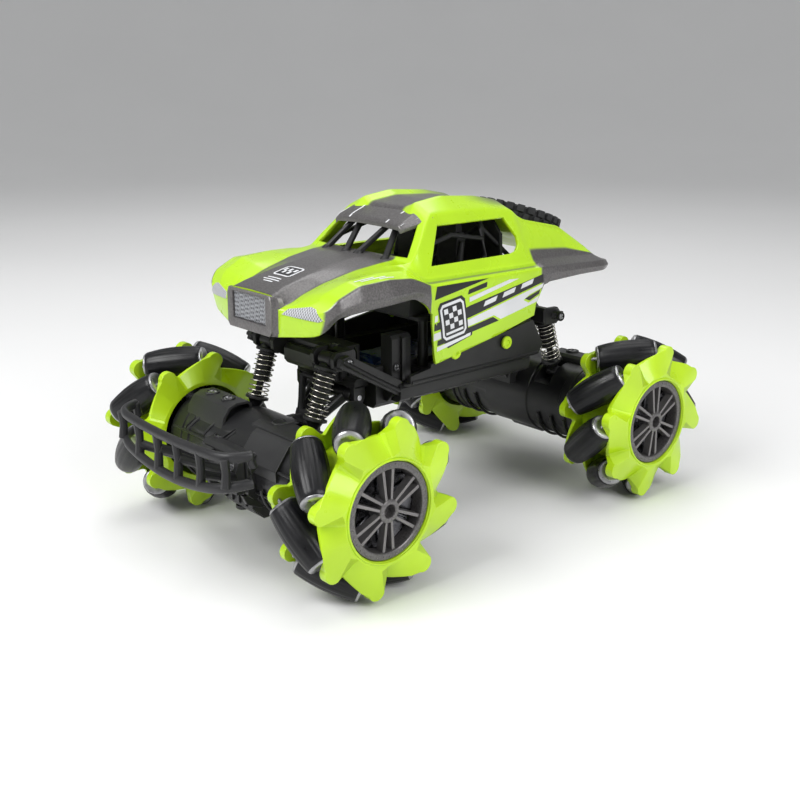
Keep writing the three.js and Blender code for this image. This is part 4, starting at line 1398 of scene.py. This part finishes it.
def add_axles():
    castings, heads = axle_castings(), Soup()
    for position, normal in axle_screws():
        screw(heads, castings, position, normal, 2.2)
    glints = Soup()
    for low, high in DRUM_SLOTS:
        glints.add(slot_bar(low, high, 22.5, 0.75, 8, 0.5))
    barrel = axle_barrel()
    shafts = Soup()
    for profile in ([(2.8, 60), (2.8, 86.8), (2.3, 87.6), (0.02, 87.6)],
                    [(3.6, 67), (5.2, 67.4), (5.2, 68.3), (2.7, 68.6)]):
        shafts.add(turned(profile, (0, DRUM_Y, DRUM_Z), (1, 0, 0), 24), mirror=True)
    for end in ENDS:
        turn = -ENDS[end]
        for name, soup, material, slot, bevel in (
                ("barrel", barrel, "axle", "axle_black", 0.35),
                ("castings", castings, "axle", "axle_black", 0.45),
                ("screws", heads, "steel", "screw_steel", 0.08),
                ("slot_ribs", glints, "black", "axle_black", 0),
                ("shafts", shafts, "steel", "screw_steel", 0)):
            add_piece(f"{end}_axle_{name}", soup.flipped(turn, turn), material, f"{end}_axle", bevel,
                      [f"{end}_axle_housing"])


add_axles()


# ---- link arms ----
def link_arm():
    """A-frame that swings on the chassis and carries the axle on its roll pin; built for the rear."""
    soup = Soup()
    sleeve = [(2.1, -20.2), (3.4, -20.2), (3.7, -19.6), (3.7, -15.6), (3.3, -15), (3.3, 15), (3.7, 15.6),
              (3.7, 19.6), (3.4, 20.2), (2.1, 20.2)]
    soup.add(turned(sleeve, (0, 58, 74), (1, 0, 0), 28, close_profile=True))
    soup.add(tube([(14, 58, 74), (9.6, 66, 66.4), (5.5, 73, 60)], [2.8, 2.4, 2.6], 10), mirror=True)
    soup.add(tube([(5, 73.2, 62), (6.2, 71.8, 70), (7.5, 69.5, 82.5)], [2.3, 1.9, 2.2], 10), mirror=True)
    soup.add(tube([(6, 72.4, 68), (12.4, 59.6, 73.4)], 1.3, 8), mirror=True)
    soup.add(tube([(-7.2, 69.6, 82), (7.2, 69.6, 82)], 1.6, 10))
    soup.add(prism([(70.4, 53.4), (75.4, 53.4), (75.4, 62), (74.4, 65), (70.8, 65), (70.4, 62)], -7.5, 7.5))
    for x in (-4.6, 0, 4.6):
        soup.add(prism([(66, 63.5), (70.6, 56), (70.6, 64.4), (66, 67.4)], x - 0.7, x + 0.7))
    soup.add(turned([(2.6, 0), (2.6, 8.2), (2.1, 8.9), (0.02, 8.9)], (0, 73, 58), (0, 1, 0), 24))
    return soup


def add_link_arms():
    arm, heads = link_arm(), Soup()
    screw(heads, arm, (-4.9, 75.2, 57.6), (0, 1, 0), 1.2)
    screw(heads, arm, (4.9, 75.2, 57.6), (0, 1, 0), 1.2)
    for end, way in ENDS.items():
        body, node = f"{end}_arm", [f"{end}_link_arm"]
        add_piece(f"{end}_arm_frame", arm.flipped(1, way), "black", body, 0.3, node)
        add_piece(f"{end}_arm_screws", heads.flipped(1, way), "steel", body, 0, node)


add_link_arms()


# ---- shocks, built for the rear left corner ----
SHOCK_TOP, SHOCK_FOOT = Vector((25, 77.5, 98)), Vector((25, 89, 62))
SHOCK_LENGTH = (SHOCK_FOOT - SHOCK_TOP).length
SHOCK_LINE = (SHOCK_FOOT - SHOCK_TOP) / SHOCK_LENGTH
COIL_TOP, COIL_FOOT = 6.6, SHOCK_LENGTH - 8.2
COILS, COIL_RADIUS, WIRE_RADIUS = 9, 5.2, 0.35


def shock_barrel():
    """Threaded black barrel with its eye and the spring's upper collar."""
    soup = Soup()
    outer = [(2.6, 6.6), (2.6, 21.4), (3.9, 21.4)]
    for ring in range(14):
        low = 20.8 - ring * 1.05
        outer += [(4.4, low), (4.4, low - 0.5), (3.9, low - 0.65), (3.9, low - 0.95)]
    outer += [(4.0, 5.8), (6.0, 5.6), (6.15, 5.2), (6.15, 4.4), (5.8, 4.0), (4.2, 3.8), (3.6, 2.2),
              (2.4, 1.2), (0.02, 1.2), (0.02, 6.6)]
    soup.add(turned(outer, SHOCK_TOP, SHOCK_LINE, 32))
    eye = [(2.0, -4.6), (3.3, -4.6), (3.6, -4.2), (3.6, 4.2), (3.3, 4.6), (2.0, 4.6)]
    soup.add(turned(eye, SHOCK_TOP, (1, 0, 0), 28, close_profile=True))
    return soup


def shock_stem():
    """Black rod, the spring's lower seat and the foot's eye."""
    soup = Soup()
    seat = SHOCK_LENGTH - 8
    outer = [(0.02, 13.6), (1.6, 13.6), (1.9, 14), (1.9, seat - 0.6), (3.4, seat - 0.4), (3.6, seat),
             (6.0, seat), (6.1, seat + 0.4), (6.0, seat + 1.3), (4.2, seat + 1.9), (3.0, seat + 4.4),
             (2.6, seat + 7), (0.02, seat + 7)]
    soup.add(turned(outer, SHOCK_TOP, SHOCK_LINE, 32))
    eye = [(0.9, -4), (2.8, -4), (3.1, -3.6), (3.1, 3.6), (2.8, 4), (0.9, 4)]
    soup.add(turned(eye, SHOCK_FOOT, (1, 0, 0), 28, close_profile=True))
    return soup


def coil(low, high):
    """A stretch of the spring between two shares of its length; its end turns lie flat."""
    axes = axes_round(SHOCK_LINE, (1, 0, 0))
    steps = int((high - low) * COILS * 20)
    points = []
    for step in range(steps + 1):
        share = low + (high - low) * step / steps
        rise = share - math.sin(2 * math.pi * share) * 0.02
        offset = around(axes, 2 * math.pi * COILS * share) * COIL_RADIUS
        points.append(SHOCK_TOP + SHOCK_LINE * (COIL_TOP + (COIL_FOOT - COIL_TOP) * rise) + offset)
    return Soup().add(tube(points, WIRE_RADIUS, 8, SHOCK_LINE))


def add_shocks():
    middle = SHOCK_TOP + SHOCK_LINE * (COIL_TOP + COIL_FOOT) / 2
    coil_start, coil_end = SHOCK_TOP + SHOCK_LINE * COIL_TOP, SHOCK_TOP + SHOCK_LINE * COIL_FOOT
    for end, side in CORNERS:
        corner = f"{end}_{side}"
        across, along = SIDES[side], ENDS[end]
        for name, soup, body in (("barrel", shock_barrel(), f"shock_body_{corner}"),
                                 ("stem", shock_stem(), f"shock_rod_{corner}")):
            soup = soup.flipped(across, along)
            add_piece(f"shock_{name}_{corner}", soup, "black", body, 0, [body])
        halves = [("upper", 0.0, 0.5, f"shock_body_{corner}", f"shock_spring_{corner}", coil_start, middle),
                  ("lower", 0.5, 1.0, f"shock_spring_{corner}", f"shock_rod_{corner}", middle, coil_end)]
        for half, low, high, first_body, second_body, start, finish in halves:
            soup = coil(low, high).flipped(across, along)
            mesh = new_mesh(f"spring_{half}_{corner}", soup.vertices, soup.faces, place)
            mesh.materials.append(MATERIALS["chrome"])
            shade_smooth(mesh)
            piece = bpy.data.objects.new(f"spring_{half}_{corner}", mesh)
            bpy.context.scene.collection.objects.link(piece)
            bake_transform(piece)
            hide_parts(f"spring_{corner}")


add_shocks()


# ---- front bumper ----
def bumper_line(ends, middle):
    """A bumper bar's line: nearly straight across, then turning back at its ends."""
    points = []
    steps = 16
    for step in range(-steps, steps + 1):
        t = math.copysign(1 - (1 - abs(step) / steps) ** 1.6, step)
        y = -155.3 + 2.2 * t * t + 11 * abs(t) ** 14
        points.append(Vector((52 * t, y, middle + (ends - middle) * t * t)))
    return points


def add_bumper():
    soup, heads = Soup(), Soup()
    soup.add(tube(bumper_line(70.5, 69), 2.5, 14, (0, 1, 0), 0.82))
    soup.add(tube(bumper_line(57.5, 50), 2.5, 14, (0, 1, 0), 0.82))
    for x, top, low, y in ((9, 69.4, 50.6, -155), (28, 69.8, 52.4, -154.5), (46.6, 70.2, 56.2, -153)):
        line = [(x, y, top), (x, y + 0.6, (top + low) / 2), (x, y, low)]
        soup.add(tube(line, [2.4, 2.0, 2.4], 10), mirror=True)
    soup.add(tube([(51, -143, 71.4), (51.6, -141.4, 64.8), (51, -143, 58.4)], 2.1, 10), mirror=True)
    soup.add(tube([(9, -154.6, 61), (10.6, -142, 54.5), (12, -127, 47.5)], [2.6, 2.2, 2.8], 10), mirror=True)
    soup.add(tube([(28, -154, 58), (21, -140, 51), (15, -127, 46)], [2.4, 2.0, 2.6], 10), mirror=True)
    soup.add(prism([(-129.4, 38), (-124.4, 38), (-124.4, 54), (-127.6, 54), (-129.4, 50)], 8, 18.4),
             mirror=True)
    soup.add(prism([(-128.6, 40), (-125.4, 40), (-125.4, 50), (-128.6, 50)], -12, 12))
    soup.add(prism([(-128, 38.6), (-137, 50.6), (-139, 53.2), (-128, 47)], 10.4, 12.6), mirror=True)
    for x in (-20, 20):
        screw(heads, soup, (x * 0.68, -128.9, 51), (0, -0.9, 0.45), 1.7)
    body, node = "front_axle", ["front_bumper"]
    add_piece("bumper_frame", soup, "charcoal", body, 0.3, node)
    add_piece("bumper_screws", heads, "steel", body, 0.08, node)


add_bumper()


# ---- chassis ----
def tower(braced):
    """One end's tower for the link arm and shocks; built for the rear."""
    soup = Soup()
    soup.add(prism([(50, 79), (66, 82), (66, 96), (63, 99), (50, 99)], -15, 15))
    soup.add(prism([(64, 87.6), (76, 88.6), (78, 91), (78, 97), (76, 99), (64, 99)], -12, 12))
    crossbar = [(68, 95.6), (69.6, 94), (72.6, 94), (73.4, 96), (73.4, 101.6), (72, 103.2), (69, 103.2),
                (68, 101.8)]
    soup.add(prism(crossbar, -34, 34))
    ear = [(70, 94), (79, 93.4), (81.8, 95.6), (82, 100), (79.6, 102.8), (70, 103)]
    for low in (15.8, 31.6):
        soup.add(prism(ear, low, low + 2.6), mirror=True)
    for y in (53, 58, 63):
        soup.add(prism([(15, 82), (17.4, 84), (17.4, 96), (15, 98.4)], y - 0.7, y + 0.7, "y"), mirror=True)
    for x in (-24, -8, 8, 24):
        soup.add(prism([(66, 96.4), (68.4, 94.6), (68.4, 102.6), (66, 101)], x - 0.7, x + 0.7))
    soup.add(prism([(51, 79), (61, 79), (61, 82.6), (59.4, 84), (51, 84)], -24, 24))
    bracket = [(54, 80), (54, 73.6), (56, 70.6), (60, 70.6), (61.5, 73.6), (61.5, 80)]
    soup.add(prism(bracket, 21, 24), mirror=True)
    soup.add(tube([(38, 80, 98.6), (33, 76, 98.6)], 2.4, 10), mirror=True)
    if braced:
        brace = [(82, 97), (80.6, 101), (76, 102), (43, 83.4), (43, 75)]
        soup.add(prism(brace, 36.4, 39.6), mirror=True)
        soup.add(tube([(40, 81, 100), (40, 62, 88.6), (40, 45, 78.8)], 1.3, 10), mirror=True)
    return soup


def chassis_tub():
    """The hollow tub with its openings for the battery and the switch."""
    outer = [(-30, 70.6), (-27.4, 68), (27.4, 68), (30, 70.6), (30, 90), (-30, 90)]
    tub = Soup().add(prism(outer, -52, 52, "y"))
    cutter = Soup()
    cutter.add(block((-27, 27), (-49, 49), (71, 95)))
    cutter.add(block((-17, 17), (-31, 31), (60, 72)))
    cutter.add(block((-3.4, 3.4), (38, 47), (60, 72)))
    return carved(tub, cutter)


def add_chassis():
    soup, heads, steel = chassis_tub(), Soup(), Soup()
    beam = [(29.6, 72.4), (38.6, 72.4), (40.8, 74), (41.2, 79.8), (40, 81.8), (37.6, 82.2), (29.6, 82.2)]
    soup.add(prism(beam, -45, 50, "y"), mirror=True)
    bead = [(39.9, y, 81.2) for y in (-43, -40, 0, 44, 48)]
    soup.add(tube(bead, [1.0, 1.7, 1.7, 1.7, 1.0], 12), mirror=True)
    for y in (-36, -12, 12, 36):
        soup.add(prism([(30, 68.6), (40.4, 73), (40.4, 76), (30, 76)], y - 0.9, y + 0.9, "y"), mirror=True)
    post = [(28, 72), (33, 72), (36.6, 76), (36.6, 104.6), (35, 106.4), (28, 106.4)]
    soup.add(prism(post, -47, -34.4, "y"), mirror=True)
    soup.add(prism([(36, 75), (38.4, 77), (38.4, 105), (36, 106)], -41.6, -39.6, "y"), mirror=True)
    soup.add(prism(post, 37, 47, "y"), mirror=True)
    rocker = [(-44, 83.6), (50, 83.6), (53, 88), (44.4, 103), (-30, 91.4), (-30.6, 89.4), (-44, 87.4)]
    soup.add(prism(rocker, 44.6, 47.4), mirror=True)
    lip = [(47, y, 84.1) for y in (-43, -20, 20, 49)]
    soup.add(tube(lip, 1.1, 8), mirror=True)
    soup.add(block((29, 45), (-30, 48), (84.2, 87)), mirror=True)
    for y in (30, -24):
        soup.add(tube([(34, y, 81), (34, y, 100), (34, y, 112.4)], [3.2, 2.6, 2.4], 14), mirror=True)
    for way in (1, -1):
        soup.join(tower(way < 0).flipped(1, way))
        for x in (-17.4, 17.4, -9, 9):
            position = (x, way * 58.5, 79.1) if abs(x) > 10 else (x * 1.2, way * 58.5, 79.4)
            screw(heads, soup, position, (0, 0, -1), 1.3)
        for x in (-20.6, 20.6):
            screw(heads, soup, (x, way * 70.6, 103.1), (0, 0, 1), 1.4)
        for side in (1, -1):
            screw(heads, soup, (side * 39.5, way * 76.4, 98.6), (side, 0, 0), 1.5)
            steel.add(tube([(side * 16.4, way * 77.5, 98), (side * 34.4, way * 77.5, 98)], 1.5, 14))
        steel.add(tube([(-24.4, way * 58, 74), (24.4, way * 58, 74)], 1.5, 14))
    for side in (1, -1):
        for y in (-40, -14, 14, 40):
            screw(heads, soup, (side * 23.4, y, 68.1), (0, 0, -1), 1.5)
        screw(heads, soup, (side * 36.5, -44, 90), (side, 0, 0), 1.4)
    add_piece("chassis_castings", soup, "black", "chassis", 0.4, ["chassis_frame"])
    add_piece("chassis_screws", heads, "steel", "chassis", 0.08, ["chassis_frame"])
    add_piece("chassis_pins", steel, "steel", "chassis", 0.2, ["chassis_frame"])
    pins = Soup()
    pin = [(0.02, -4), (2.0, -4), (2.0, 0.6), (3.2, 1.0), (3.4, 1.4), (3.4, 2.2), (3.0, 2.7), (1.6, 2.8),
           (1.3, 2.2), (0.02, 2.2)]
    for y, z in ((-15, 95.1), (22.5, 94.2)):
        pins.add(turned(pin, (47.2, y, z), (1, 0, 0), 28), mirror=True)
    add_piece("body_pins", pins, "rim_green", "chassis", 0, ["body_shell"])


def add_battery():
    cells, wires, cover, knob = Soup(), Soup(), Soup(), Soup()
    for x in (-8, 8):
        line = [(x, y, 77.2) for y in (-29.6, -28.8, 28.8, 29.6)]
        cells.add(tube(line, [6.9, 7.7, 7.7, 6.9], 32))
    wrap = [(-15.8, 70.2), (-14.6, 69), (14.6, 69), (15.8, 70.2), (15.8, 84.4), (14.6, 85.6), (-14.6, 85.6),
            (-15.8, 84.4)]
    cells.add(prism(wrap, -27, 27, "y"))
    for x in (-2, 2):
        wires.add(tube([(x, 28, 82), (x, 34, 84), (x * 2, 40, 80), (x * 2, 45, 76)], 0.9, 10))
    door = [(-20, -34), (-19, -35), (19, -35), (20, -34), (20, 34), (19, 35), (-19, 35), (-20, 34)]
    cover.add(prism(door, 66.3, 67.6, "z"))
    for row in range(9):
        y = -26 + row * 6.5
        cover.add(prism([(-15, 66.5), (-14.4, 66.25), (14.4, 66.25), (15, 66.5)], y, y + 1.6, "y"))
    cover.add(prism([(-6, 66.5), (-5, 66.22), (5, 66.22), (6, 66.5)], -34, -30, "y"))
    knob.add(prism([(-4.8, 38.2), (4.8, 38.2), (4.8, 45.8), (-4.8, 45.8)], 71.5, 73, "z"))
    knob.add(prism([(-2.3, 39.6), (2.3, 39.6), (2.3, 43.4), (-2.3, 43.4)], 66, 72, "z"))
    for row in range(3):
        y = 40.2 + row * 1.2
        knob.add(prism([(-2.2, 66.2), (-2.0, 65.65), (2.0, 65.65), (2.2, 66.2)], y, y + 0.5, "y"))
    add_piece("battery_cells", cells, "battery", "chassis", 0.4, ["battery_pack"])
    add_piece("battery_wires", wires, "black", "chassis", 0, ["battery_pack"])
    add_piece("battery_door", cover, "black", "chassis", 0.2, ["battery_cover"])
    add_piece("switch_knob", knob, "black", "switch", 0.2, ["power_switch"])


add_chassis()
add_battery()
